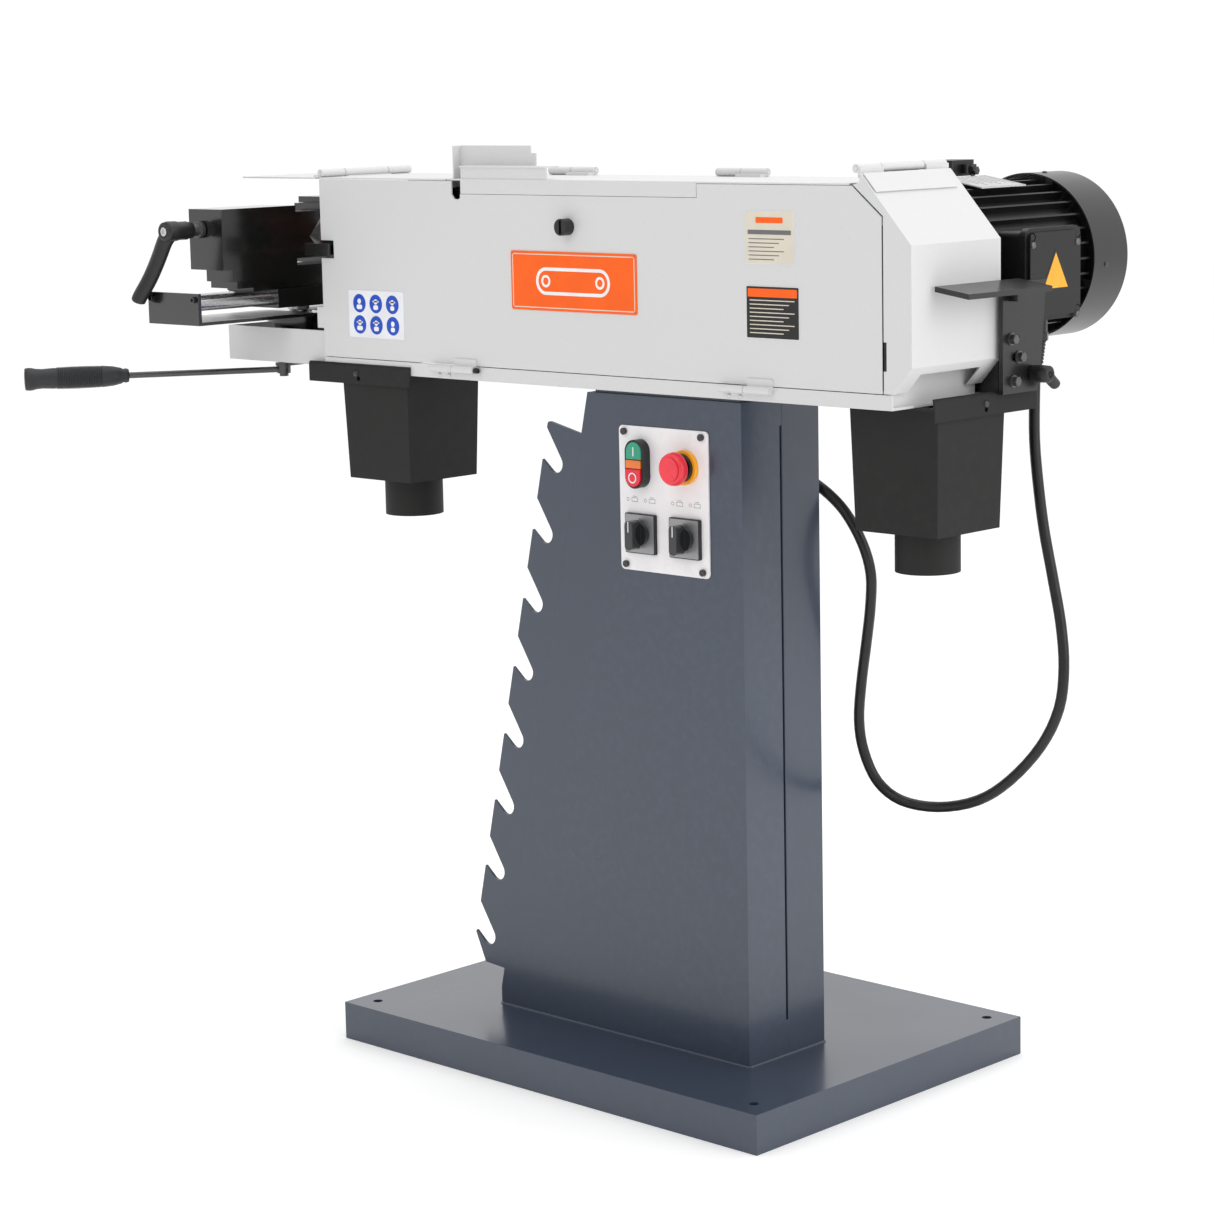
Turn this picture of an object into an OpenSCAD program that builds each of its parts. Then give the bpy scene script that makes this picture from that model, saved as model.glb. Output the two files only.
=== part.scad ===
// Tube-notching belt grinder: a folding-guard belt head on a sheet-metal column.
// Frame: +X to the motor end, -Y to the operator's side, +Z up, origin under the middle of the base.

/* [Stand] */
// Length of the base tray
base_l = 700; // [500:10:900]
// Width of the base tray
base_w = 500; // [400:10:700]
// Height of the base tray
base_h = 48; // [30:1:80]
// Sheet thickness of the base tray
base_t = 4; // [2:0.5:6]
// Spacing of the floor bolts along X
base_bolt_x = 640; // [400:10:840]
// Spacing of the floor bolts along Y
base_bolt_y = 440; // [300:10:640]
// Diameter of the floor bolt holes
base_hole_d = 12; // [8:1:18]
// Left edge of the column at the floor
col_left = -190; // [-250:5:-100]
// Right face of the column
col_right = 230; // [150:5:300]
// Left edge of the column at the top
col_top_left = -15; // [-100:5:50]
// Front face of the column
col_front = -124; // [-180:1:-80]
// Depth of the column
col_depth = 138; // [100:1:200]
// Height of the column's top edge
col_top = 840; // [700:5:900]
// Sheet thickness of the column
col_t = 3; // [2:0.5:5]

/* [Control panel] */
// Left edge of the panel plate
panel_x = 38; // [0:1:60]
// Bottom edge of the panel plate
panel_z = 631; // [600:1:700]
// Width of the panel plate
panel_w = 142; // [120:1:180]
// Height of the panel plate
panel_h = 173; // [150:1:220]
// Diameter of the emergency-stop button
estop_d = 40; // [30:1:60]
// Side of the selector plates
selector_w = 48; // [40:1:60]

/* [Head] */
// Left end of the head
head_left = -476; // [-520:1:-440]
// Right edge of the front door
door_right = 447; // [400:1:480]
// Front face of the door
door_y = -135; // [-160:1:-120]
// Underside of the head tray
tray_z = 845; // [800:1:900]
// Lower edge of the door
door_z = 863; // [850:1:880]
// Top of the head's side walls
head_top = 1090; // [1060:1:1120]
// Outer face of the end guard
guard_x = 488; // [470:1:520]
// Sheet thickness of the guards and the door
sheet = 2; // [1:0.5:3]

/* [Belt drive] */
// Radius of the drive drum
drum_r = 88; // [70:1:100]
// Belt width
belt_w = 100; // [75:5:120]
// Middle of the belt in Y
belt_y = -55; // [-70:1:-40]
// Drive axis, X
drum_x = 338; // [300:1:360]
// Drive axis, Z
drum_z = 989; // [960:1:1000]
// Contact roller radius
contact_r = 21; // [10:0.5:40]
// Contact roller axis, X
contact_x = -491; // [-510:1:-470]
// Contact roller axis, Z
contact_z = 1012; // [990:1:1030]
// Idler radius
idler_r = 20; // [15:1:30]
// Idler axis, X
idler_x = -300; // [-340:1:-260]
// Idler axis, Z
idler_z = 1057; // [1030:1:1060]

/* [Motor] */
// Fan cowl radius
cowl_r = 99; // [80:1:120]
// Rear end of the fan cowl
cowl_y = 345; // [300:1:380]
// Front face of the motor flange
motor_y = 25; // [20:1:40]

/* [Dust hoods] */
// Hood width along its lip
hood_w = 122; // [100:1:150]
// Hood depth away from its lip
hood_d = 125; // [100:1:160]
// Hood height
hood_h = 138; // [100:1:180]
// Outside diameter of the dust spigots
spigot_d = 75; // [60:1:100]
// Spigot length
spigot_l = 48; // [30:1:80]

/* [Notching unit] */
// Swivel axis, X
swivel_x = -597; // [-620:1:-580]
// Swivel axis, Y
swivel_y = -70; // [-90:1:-50]
// Front end of the slide frame
slide_front = -284; // [-320:1:-250]
// Rear end of the slide frame
slide_rear = 45; // [30:1:60]
// Diameter of the guide rods
rod_d = 16; // [10:1:20]
// Vise screw axis, X
screw_x = -600; // [-620:1:-580]
// Vise screw axis, Z
screw_z = 1028; // [1000:1:1040]

/* [Node] */
// Node to draw; all draws every node

/* [Hidden] */
$fn = 64;
e = 0.01;
paint = [0.31, 0.35, 0.39];
white = [0.88, 0.89, 0.90];
black = [0.10, 0.10, 0.11];
steel = [0.72, 0.73, 0.75];
col_y0 = col_front;
col_y1 = col_front + col_depth;
col_kick = 70;
col_slope = (col_top_left - col_left) / (col_top - col_kick);
col_dir = [col_top_left - col_left, col_top - col_kick];
col_len = norm(col_dir);
seam_y = col_front + col_depth / 2;
seam_gap = 4;
panel_y = col_front - 2;
pad_x0 = panel_x + panel_w / 4;
pad_x1 = panel_x + panel_w * 3 / 4;
pad_z0 = panel_z + panel_h * 0.262;
pad_z1 = panel_z + panel_h * 0.747;
head_rear = 20;
guard_rear = 25;
hinge_x = 410;
hinge_z = 1108;
flap_hinge_z = 1097.3;
flap_x0 = -240;
flap_x1 = 176;
flap_rear = 3;
belt_y0 = belt_y - belt_w / 2;
belt_y1 = belt_y + belt_w / 2;
rod_z = 935;
rod_x0 = -635;
rod_x1 = -559;
feed_z = 860;
lever_pivot = [-600, -100, 837];
grip_dir = [-0.554, -0.833, 0];
rest_pivot = [487, 70, 872];
cable_r = 6.5;
cable_sides = 10;
// Route of the motor cable, from the terminal box gland down, round and up to the column's rear face.
cable_route = [
    [445, 150, 925], [445, 150, 890], [446, 146, 840], [449, 142, 786], [455, 141, 735],
    [464, 140, 683], [478, 138, 628], [492, 135, 574], [500, 130, 525], [497, 125, 477],
    [475, 120, 430], [436, 112, 385], [394, 105, 356], [342, 96, 342], [294, 86, 345],
    [262, 80, 365], [245, 75, 401], [242, 70, 440], [250, 65, 486], [262, 60, 536],
    [273, 55, 584], [278, 50, 625], [270, 44, 662], [250, 37, 698], [224, 31, 722],
    [196, 26, 737], [186, 17, 741], [185, 6, 742]
];

// ---------- helpers ----------

// Extrudes an XZ outline from y0 to y1.
module xz(y0, y1) {
    translate([0, y1, 0]) rotate([90, 0, 0]) linear_extrude(y1 - y0) children();
}

// Extrudes a YZ outline from x0 to x1.
module yz(x0, x1) {
    translate([x0, 0, 0]) rotate([90, 0, 90]) linear_extrude(x1 - x0) children();
}

// Box between two corners.
module box(a, b) {
    translate(a) cube(b - a);
}

// Cylinder along Y from y0 to y1.
module rod_y(x, z, y0, y1, r) {
    translate([x, y1, z]) rotate([90, 0, 0]) cylinder(r = r, h = y1 - y0);
}

// Cylinder along X from x0 to x1.
module rod_x(y, z, x0, x1, r) {
    translate([x0, y, z]) rotate([0, 90, 0]) cylinder(r = r, h = x1 - x0);
}

// Cylinder along Z from z0 to z1.
module rod_up(x, y, z0, z1, r) {
    translate([x, y, z0]) cylinder(r = r, h = z1 - z0);
}

// Rounded rectangle from corner a to corner b with corner radius r.
module round_rect(a, b, r) {
    translate([a[0] + r, a[1]]) square([b[0] - a[0] - 2 * r, b[1] - a[1]]);
    translate([a[0], a[1] + r]) square([b[0] - a[0], b[1] - a[1] - 2 * r]);
    for (x = [a[0] + r, b[0] - r], y = [a[1] + r, b[1] - r]) translate([x, y]) circle(r);
}

// Column outline in XZ, moved inward by d on its sloped and right sides.
module column_outline(d, z0, z1) {
    polygon([
        [col_left + d, z0], [col_left + d, col_kick],
        [col_left + d + (z1 - col_kick) * col_slope, z1], [col_right - d, z1], [col_right - d, z0]
    ]);
}

// Side wall outline of the column in XZ.
module column_walls(d0, d1) {
    difference() {
        column_outline(d0, base_h, col_top);
        column_outline(d1, base_h - 1, col_top + 1);
    }
}

// ---------- stand ----------

module base_tray() {
    color(paint) difference() {
        union() {
            difference() {
                box([-base_l / 2, -base_w / 2, 0], [base_l / 2, base_w / 2, base_h]);
                box([-base_l / 2 + base_t, -base_w / 2 + base_t, -1],
                    [base_l / 2 - base_t, base_w / 2 - base_t, base_h - base_t]);
            }
            for (y = [-170, 0, 170]) base_stiffener(y);
        }
        for (x = [-1, 1] * base_bolt_x / 2, y = [-1, 1] * base_bolt_y / 2)
            rod_up(x, y, base_h - base_t - 1, base_h + 1, base_hole_d / 2);
    }
}

// Channel stiffener under the tray, along X.
module base_stiffener(y) {
    len = 560;
    wide = 60;
    difference() {
        box([-len / 2, y - wide / 2, 0], [len / 2, y + wide / 2, base_h - base_t + e]);
        box([-len / 2 - 1, y - wide / 2 + base_t, base_t],
            [len / 2 + 1, y + wide / 2 - base_t, base_h - base_t + 1]);
    }
}

module column_front() {
    color(paint) {
        difference() {
            union() {
                xz(col_y0, col_y0 + col_t) column_outline(0, base_h, col_top);
                xz(col_y0 + col_t - e, seam_y - seam_gap / 2) column_walls(0, col_t);
                xz(seam_y - 15, seam_y - seam_gap / 2) seam_strip(-e);
                xz(seam_y - 15, seam_y + 15) seam_strip(0.05);
                for (z = [[base_h, 92], [808, col_top]])
                    box([col_right - col_t, seam_y - seam_gap / 2 - 1, z[0]],
                        [col_right, seam_y + seam_gap / 2, z[1]]);
            }
            box([panel_x + 8, col_y0 - 1, panel_z + 9],
                [panel_x + panel_w - 8, col_y0 + col_t + 1, panel_z + panel_h - 9]);
        }
        foot_flange(col_y0 + col_t - e, seam_y - 20);
    }
}

// Strip behind the seam, a gap away from the inner side of the side walls.
module seam_strip(gap) {
    intersection() {
        column_walls(col_t + gap, col_t * 2);
        translate([-250, base_h + 10]) square([500, col_top - 70]);
    }
}

// Welded foot flange inside one half of the column.
module foot_flange(y0, y1) {
    box([col_left + col_t - e, y0, base_h], [col_left + 40, y1, base_h + 5]);
    box([col_right - 40, y0, base_h], [col_right - col_t + e, y1, base_h + 5]);
}

module column_rear() {
    color(paint) {
        difference() {
            union() {
                xz(col_y1 - col_t, col_y1) column_outline(0, base_h, col_top);
                xz(seam_y + seam_gap / 2, col_y1 - col_t + e) column_walls(0, col_t);
            }
            rod_y(185, 742, col_y1 - col_t - 1, col_y1 + 1, 10);
        }
        foot_flange(seam_y + 20, col_y1 - col_t + e);
    }
}

module column_top_plate() {
    color(paint) difference() {
        box([-6, col_y0 + 5, tray_z - 12], [col_right - 5, col_y1 - 5, tray_z]);
        for (x = [20, 200], y = [-100, -10]) rod_up(x, y, tray_z - 13, tray_z + 1, 5.5);
        box([70, -80, tray_z - 13], [150, -30, tray_z + 1]);
    }
}

rack_out = 57.5;
rack_first = 56;
rack_pitch = 90.3;
rack_t = 4;

// Plate with eight hooked slots, along the column's sloped edge; s runs up the edge, t outward.
module rack_outline() {
    top = rack_first + rack_pitch * 7 + 49;
    difference() {
        union() {
            polygon([[26, 0], [21, 33.5], [rack_first - 3, rack_out], [top - 4, rack_out],
                [top, rack_out - 4], [top, 0]]);
            translate([top - 4, rack_out - 4]) circle(4);
        }
        for (i = [0 : 7]) translate([rack_first + rack_pitch * i, 0]) hook_slot();
    }
}

// One slot, open at the outer edge and round at its seat; the hook's tip is at s = 0.
module hook_slot() {
    translate([1, 34.5]) circle(11.5);
    polygon([[0.5, rack_out + 1], [41.5, rack_out + 1], [9.1, 26.3], [1, 34.5], [-9.2, 39.8]]);
}

module roller_racks() {
    color(paint) for (y = [col_y0, col_y1 - rack_t])
        xz(y, y + rack_t)
            translate([col_left, col_kick])
                multmatrix([[col_dir[0], -col_dir[1], 0, 0], [col_dir[1], col_dir[0], 0, 0],
                    [0, 0, col_len, 0], [0, 0, 0, col_len]] / col_len)
                    translate([0, 0.05]) rack_outline();
}

// ---------- control panel ----------

module panel_plate() {
    color([0.88, 0.87, 0.88]) xz(panel_y, col_y0) difference() {
        round_rect([panel_x, panel_z], [panel_x + panel_w, panel_z + panel_h], 6);
        for (x = [9.5, panel_w - 9.5], z = [7, panel_h - 7])
            translate([panel_x + x, panel_z + z]) circle(2.6);
        translate([pad_x0, pad_z1]) circle(11.2);
        translate([pad_x1, pad_z1]) circle(11.2);
        for (x = [pad_x0, pad_x1]) translate([x, pad_z0]) circle(9);
    }
}

// Oblong outline of the twin push-button.
module oblong(w, h) {
    for (z = [-1, 1] * (h - w) / 2) translate([0, z]) circle(w / 2);
    square([w, h - w], center = true);
}

twin_w = 29;
twin_h = 58;
twin_out = 13;

module button_housing() {
    color(black) translate([pad_x0, 0, pad_z1]) {
        difference() {
            union() {
                xz(panel_y - twin_out, panel_y) oblong(twin_w, twin_h);
                rod_y(0, 0, panel_y - e, panel_y + 12, 11);
                xz(panel_y + 12 - e, panel_y + 62) square([24, 46], center = true);
            }
            xz(panel_y - twin_out - 1, panel_y - 4) oblong(twin_w - 4, twin_h - 4);
        }
    }
}

// Half of the twin button's face, above or below the lens; it stands proud by out.
module half_button(up, out) {
    xz(panel_y - twin_out - out, panel_y - 8) intersection() {
        oblong(twin_w - 5, twin_h - 5);
        translate([-20, up > 0 ? 5.5 : -45.5]) square([40, 40]);
    }
}

module start_button() {
    color([0.14, 0.6, 0.47]) translate([pad_x0, 0, pad_z1]) half_button(1, 1);
}

module stop_button() {
    color([0.88, 0.08, 0.18]) translate([pad_x0, 0, pad_z1]) half_button(-1, 3);
}

module indicator_lens() {
    color([0.9, 0.47, 0.05]) translate([pad_x0, 0, pad_z1])
        xz(panel_y - twin_out - 2, panel_y - 4) square([twin_w - 5, 10], center = true);
}

module estop_ring() {
    color([0.98, 0.67, 0.05]) translate([pad_x1, 0, pad_z1]) difference() {
        union() {
            rod_y(0, 0, panel_y - 6, panel_y, 20.5);
            rod_y(0, 0, panel_y - e, panel_y + 14, 11);
        }
        rod_y(0, 0, panel_y - 7, panel_y + 15, 8.1);
    }
}

module estop_button() {
    color([0.9, 0.1, 0.15]) translate([pad_x1, 0, pad_z1]) {
        translate([0, panel_y - 14, 0]) rotate([90, 0, 0]) rotate_extrude() polygon(concat(
            [[0, 0], [estop_d / 2 - 4, 0]],
            [for (a = [0 : 15 : 90]) [estop_d / 2 - 4 + 4 * cos(a), 4 + 10 * sin(a)]], [[0, 14.6]]));
        rod_y(0, 0, panel_y - 14.5, panel_y + 40, 8);
    }
}

// Front plate of one selector switch, with its body behind the panel.
module selector_plate() {
    xz(panel_y - 5, panel_y) difference() {
        round_rect([-1, -1] * selector_w / 2, [1, 1] * selector_w / 2, 2);
        circle(7);
    }
    difference() {
        xz(col_y0 + 5, col_y0 + 45) square(44, center = true);
        rod_y(0, 0, col_y0 + 4, col_y0 + 30, 7);
    }
}

module selector_plates() {
    color(steel) for (x = [pad_x0, pad_x1]) translate([x, 0, pad_z0]) selector_plate();
}

// Pointer knob: a round skirt with a raised upright bar.
module pointer_knob() {
    rod_y(0, 0, panel_y - 10, panel_y - 5.2, 15);
    xz(panel_y - 25, panel_y - 9.9) round_rect([-6, -17.5], [6, 17.5], 5);
    rod_y(0, 0, panel_y - 6, col_y0 + 25, 3);
}

module direction_knob() {
    color(black) translate([pad_x0, 0, pad_z0]) pointer_knob();
}

module speed_knob() {
    color(black) translate([pad_x1, 0, pad_z0]) pointer_knob();
}

module contactor() {
    color([0.75, 0.74, 0.70]) {
        box([10, col_y1 - col_t - 8, 560], [200, col_y1 - col_t - 7, 740]);
        for (x = [28, 90]) box([x, col_y1 - col_t - 75, 620], [x + 45, col_y1 - col_t - 8, 700]);
        box([20, col_y1 - col_t - 40, 575], [190, col_y1 - col_t - 8, 590]);
        for (x = [20, 180]) box([x, col_y1 - col_t - 7.5, 600], [x + 10, col_y1 - col_t, 640]);
    }
}

module fasteners() {
    color([0.2, 0.2, 0.21]) {
        for (x = [9.5, panel_w - 9.5], z = [7, panel_h - 7])
            translate([panel_x + x, 0, panel_z + z]) {
                rod_y(0, 0, panel_y - 4, panel_y, 4.2);
                rod_y(0, 0, panel_y - e, panel_y + 2, 2.5);
            }
        for (x = [20, 200], y = [-100, -10]) {
            rod_up(x, y, tray_z + 3, tray_z + 10, 8);
            rod_up(x, y, tray_z - 20, tray_z + 3 + e, 5);
        }
        for (a = [45 : 90 : 315]) translate([drum_x + 70 * cos(a), 0, drum_z + 70 * sin(a)]) {
            rod_y(0, 0, 13, 20, 6.5);
            rod_y(0, 0, 20 - e, 33, 4);
        }
    }
}

// ---------- head ----------

ext_left = -675;
ext_z = 850;
ext_top = 895;

module head_tray() {
    color(white) difference() {
        union() {
            box([head_left, door_y + 3, tray_z], [460, head_rear, tray_z + 3]);
            box([head_left, door_y, tray_z], [460, door_y + 3, door_z - 1]);
            box([452.5, door_y + 2.5, tray_z + 2], [455.5, head_rear, 900]);
            difference() {
                box([ext_left, door_y + 5, ext_z], [head_left + 8, head_rear, ext_top]);
                box([ext_left + 3, door_y + 8, ext_z + 3], [head_left + 9, head_rear - 3, ext_top + 1]);
                box([head_left, door_y + 4, door_z - 1], [head_left + 9, head_rear + 1, ext_top + 1]);
            }
            box([head_left, door_y + 5, tray_z + 1], [head_left + 8, head_rear, ext_z + 2]);
            for (y = [-112, -14]) box([-668, y, ext_z + 2], [-500, y + 10, feed_z]);
        }
        box([-438, -118, tray_z - 1], [-330, 5, tray_z + 4]);
        box([362, -75, tray_z - 1], [442, 12, tray_z + 4]);
        box([60, -80, tray_z - 1], [160, -30, tray_z + 4]);
        for (x = [20, 200], y = [-100, -10]) rod_up(x, y, tray_z - 1, tray_z + 4, 5.5);
        box([-642, -40, ext_z - 1], [-558, -10, ext_z + 4]);
        rod_up(lever_pivot[0], lever_pivot[1], ext_z - 1, ext_z + 4, 6);
    }
}

back_plate_out = [
    [head_left, tray_z], [447.5, tray_z], [447.5, 1048], [400, 1086], [400, 1089], [head_left, 1089]
];

module back_plate() {
    color(white) difference() {
        xz(head_rear, guard_rear) polygon(back_plate_out);
        rod_y(drum_x, drum_z, head_rear - 1, guard_rear + 1, 40);
        for (a = [45 : 90 : 315])
            rod_y(drum_x + 70 * cos(a), drum_z + 70 * sin(a), head_rear - 1, guard_rear + 1, 4.5);
        rod_y(idler_x, idler_z, head_rear - 1, guard_rear + 1, 6.1);
    }
}

// Rolled knuckle along Y round a pin, joined to a plate.
module knuckle_y(x, z, y0, y1) {
    difference() {
        rod_y(x, z, y0, y1, 5);
        rod_y(x, z, y0 - 1, y1 + 1, 2.6);
    }
}

cover_knuckles_left = [[-92, -18]];
flap_knuckles_left = [[-133, -93], [-17, 23]];
cover_knuckles_right = [[-92, -18]];
guard_knuckles = [[-133, -93], [-17, 23]];

module top_cover() {
    color(white) {
        difference() {
            box([head_left, door_y, head_top], [402, guard_rear, head_top + 2]);
            box([flap_x0 - 0.5, door_y - 1, head_top - 1], [flap_x1 + 0.5, flap_rear + 0.5, head_top + 3]);
        }
        for (k = cover_knuckles_left) {
            knuckle_y(head_left, flap_hinge_z, k[0], k[1]);
            box([head_left + 2, k[0], head_top + e], [head_left + 10, k[1], head_top + 3]);
        }
        for (k = cover_knuckles_right) {
            knuckle_y(hinge_x, hinge_z, k[0], k[1]);
            box([398, k[0], head_top + e], [hinge_x - 2.7, k[1], head_top + 15.5]);
        }
        for (x = [[-200, -161], [81, 120]]) {
            flap_knuckle(x);
            box([x[0], flap_rear + 8, head_top + e], [x[1], flap_rear + 16, head_top + 3]);
        }
    }
}

flap_pin_y = flap_rear + 6;
lip_x0 = -214;

// Rolled knuckle along X for the top flap.
module flap_knuckle(x) {
    difference() {
        rod_x(flap_pin_y, flap_hinge_z, x[0], x[1], 5);
        rod_x(flap_pin_y, flap_hinge_z, x[0] - 1, x[1] + 1, 2.6);
    }
}

module top_flap() {
    color(white) {
        box([flap_x0, door_y + 2, head_top], [flap_x1, flap_rear, head_top + 2]);
        box([lip_x0, door_y, head_top - 16], [flap_x1, door_y + 2 + e, head_top + 2]);
        for (x = [[-160, -121], [121, 160]]) {
            flap_knuckle(x);
            box([x[0], flap_rear - 8, head_top + 2 - e], [x[1], flap_rear, head_top + 5.5]);
            box([x[0], flap_rear - 1, head_top + 2.2], [x[1], flap_rear + 2.5, head_top + 5.5]);
        }
    }
}

module stop_plate() {
    z = head_top + 2;
    color(white) difference() {
        union() {
            box([lip_x0, -134, z], [-66, -132, z + 16]);
            box([lip_x0, -136, z + 14], [-66, -112, z + 16]);
            box([-236, -114, z], [-112, -112, z + 40]);
            box([-113, -114, z], [-103, -112, z + 31]);
            box([-236, -126, z], [-234, -112, z + 40]);
            box([-232, -114, z], [-116, -88, z + 3]);
        }
        for (x = [-210, -140]) rod_up(x, -99, z - 1, z + 4, 3);
    }
}

module left_flap() {
    color(white) {
        box([head_left - 152, door_y, head_top], [head_left - 7, guard_rear, head_top + 2]);
        for (k = flap_knuckles_left) {
            knuckle_y(head_left, flap_hinge_z, k[0], k[1]);
            box([head_left - 12, k[0], head_top + 1], [head_left - 2.7, k[1], head_top + 5]);
        }
    }
}

door_hinge_y = door_y - 5;
door_hinge_z = 858;
door_hinges = [-270, 212];

module hinge_pins() {
    color(white) {
        for (k = [[head_left, flap_hinge_z], [hinge_x, hinge_z]]) rod_y(k[0], k[1], -134, 24, 2.5);
        for (x = [-201, 80]) rod_x(flap_pin_y, flap_hinge_z, x, x + 81, 2.5);
        for (x = door_hinges) {
            rod_x(door_hinge_y, door_hinge_z, x, x + 38, 4.6);
            rod_x(door_hinge_y, door_hinge_z, x + 38 - e, x + 72, 2.4);
            box([x, door_hinge_y, door_hinge_z - 4.5], [x + 38, door_y, door_hinge_z]);
        }
    }
}

door_step_x = -230;
door_outline = [
    [head_left, door_z], [door_right, door_z], [door_right, 1056], [405, 1089.5],
    [flap_x1 + 0.7, 1089.5], [flap_x1 + 0.7, 1073.5], [lip_x0 - 1, 1073.5], [lip_x0 - 1, 1069],
    [lip_x0 - 4, 1067], [door_step_x + 5, 1067.5], [door_step_x, 1073], [door_step_x, 1089.5],
    [head_left, 1089.5], [head_left, 1012], [-452, 1012], [-452, 989], [head_left, 989]
];

module front_door() {
    color(white) difference() {
        union() {
            xz(door_y, door_y + sheet) polygon(door_outline);
            box([head_left + 4, door_y + 1, door_z], [door_right, door_y + 14, door_z + sheet]);
            box([door_right - sheet, door_y + 1, door_z], [door_right, door_y + 14, 1050]);
            box([lip_x0 + 3, door_y + 1, 1071.5], [flap_x1, door_y + 12, 1073.5]);
            for (x = door_hinges) {
                box([x + 39, door_hinge_y, door_hinge_z], [x + 77, door_y - e, door_hinge_z + 4.6]);
                rod_x(door_hinge_y, door_hinge_z, x + 39, x + 77, 4.6);
                box([x + 39, door_y - 2, door_hinge_z + 3], [x + 77, door_y - 0.05, door_z + 8]);
                box([x + 39, door_y - 1, door_z + 0.2], [x + 77, door_y + e, door_z + 8]);
            }
        }
        for (x = door_hinges) rod_x(door_hinge_y, door_hinge_z, x + 38.5, x + 73, 2.5);
        rod_y(-30, 1037, door_y - 1, door_y + 3, 6.2);
    }
}

module door_knob() {
    color(black) translate([-30, 0, 1037]) difference() {
        union() {
            rod_y(0, 0, door_y - 14, door_y - 0.2, 10);
            rod_y(0, 0, door_y - 1, door_y + 14, 6);
            box([-6, door_y + 8, -6], [6, door_y + 13, 28]);
        }
        box([-2, door_y - 15, -8], [2, door_y - 11, 8]);
    }
}

guard_outer = [[hinge_x + 8, 1103], [guard_x, 1026], [guard_x, 893], [461, door_z]];
guard_inner_edge = [[449, door_z], [449, 1057], [407, 1090.5], [hinge_x + 6, 1093]];

module end_guard() {
    color(white) {
        difference() {
            union() {
                xz(door_y, guard_rear) guard_skin();
                for (y = [door_y, guard_rear - sheet])
                    xz(y, y + sheet) polygon(concat(guard_inner_edge, guard_outer));
            }
            box([454, door_y + 26, 850], [guard_x + 1, guard_rear - 26, 884]);
            box([447, door_y - 1, 888], [453, door_y + 3, 920]);
        }
        for (k = guard_knuckles) {
            knuckle_y(hinge_x, hinge_z, k[0], k[1]);
            box([hinge_x + 2.7, k[0], 1098], [hinge_x + 7, k[1], hinge_z + 1]);
        }
    }
}

// Folded skin of the end guard, as an XZ outline.
module guard_skin() {
    polygon(concat(guard_outer, [[458.3, door_z], [guard_x - sheet, 893.8], [guard_x - sheet, 1025.2],
        [hinge_x + 6, 1101.4]]));
}

// ---------- dust hoods ----------

// Hood of height h with its lip on the -Y side; the origin is at the middle of the lip side, at its top.
module dust_hood(h, lip_left, lip_right) {
    lip_z0 = -15;
    lip_z1 = 11;
    difference() {
        union() {
            hull() {
                box([-hood_w / 2, 0, -4], [hood_w / 2, hood_d, -3]);
                box([-hood_w / 2 + 4, 4, -h], [hood_w / 2 - 4, hood_d - 4, -h + 1]);
            }
            box([-lip_left, -5, -3], [lip_right, hood_d + 2, 0]);
            yz(-lip_left, lip_right)
                polygon([[-5, lip_z0], [-5, lip_z1 - 4], [-4.3, lip_z1 - 1.6], [-3.1, lip_z1 - 0.4],
                    [-1.5, lip_z1], [-1.5, lip_z1 - 3], [-2, lip_z1 - 4], [-2, lip_z0]]);
            rod_up(0, hood_d / 2, -h - spigot_l, -h + 1, spigot_d / 2);
        }
        hull() {
            box([-hood_w / 2 + 3, 3, -3], [hood_w / 2 - 3, hood_d - 3, 1]);
            box([-hood_w / 2 + 7, 7, -h + 3], [hood_w / 2 - 7, hood_d - 7, -h + 4]);
        }
        rod_up(0, hood_d / 2, -h - spigot_l - 1, -h + 5, spigot_d / 2 - 2);
        rod_y((lip_right - lip_left) / 2, -8, -6, -1, 3);
    }
}

module hood_left() {
    color(black) translate([-383, door_y + 1, tray_z]) dust_hood(hood_h, 121, 70);
}

module hood_right() {
    color(black) translate([485, -25, tray_z]) rotate([0, 0, 90]) dust_hood(hood_h + 8, 72, 113);
}

module badge_plate() {
    color([1, 0.35, 0.04]) xz(door_y - 1, door_y) round_rect([-128, 936], [81, 1007], 3);
}

module info_plates() {
    color([0.93, 0.93, 0.92]) {
        xz(door_y - 0.6, door_y) round_rect([-426, 890], [-323, 950], 3);
        xz(door_y - 0.6, door_y) round_rect([250, 1001], [323, 1060], 1);
        xz(door_y - 0.6, door_y) round_rect([251, 917], [329, 976], 1);
    }
}

// ---------- belt drive ----------

module drive_drum() {
    color(steel) difference() {
        rod_y(drum_x, drum_z, belt_y0, belt_y1, drum_r);
        rod_y(drum_x, drum_z, belt_y0 - 1, belt_y - 8, drum_r - 9);
        rod_y(drum_x, drum_z, belt_y + 8, belt_y1 + 1, drum_r - 9);
        rod_y(drum_x, drum_z, belt_y0 - 1, belt_y1 + 1, 14.05);
        for (a = [0 : 60 : 300])
            rod_y(drum_x + 52 * cos(a), drum_z + 52 * sin(a), belt_y - 9, belt_y + 9, 15);
    }
    color(steel) difference() {
        rod_y(drum_x, drum_z, belt_y - 25, belt_y1 + 8, 26);
        rod_y(drum_x, drum_z, belt_y - 26, belt_y1 + 9, 14.05);
    }
}

module contact_roller() {
    color(black) difference() {
        rod_y(contact_x, contact_z, belt_y0, belt_y1, contact_r);
        rod_y(contact_x, contact_z, belt_y0 - 1, belt_y1 + 1, 6.06);
    }
}

arm_z0 = 1000;
arm_z1 = 1024;

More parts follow.
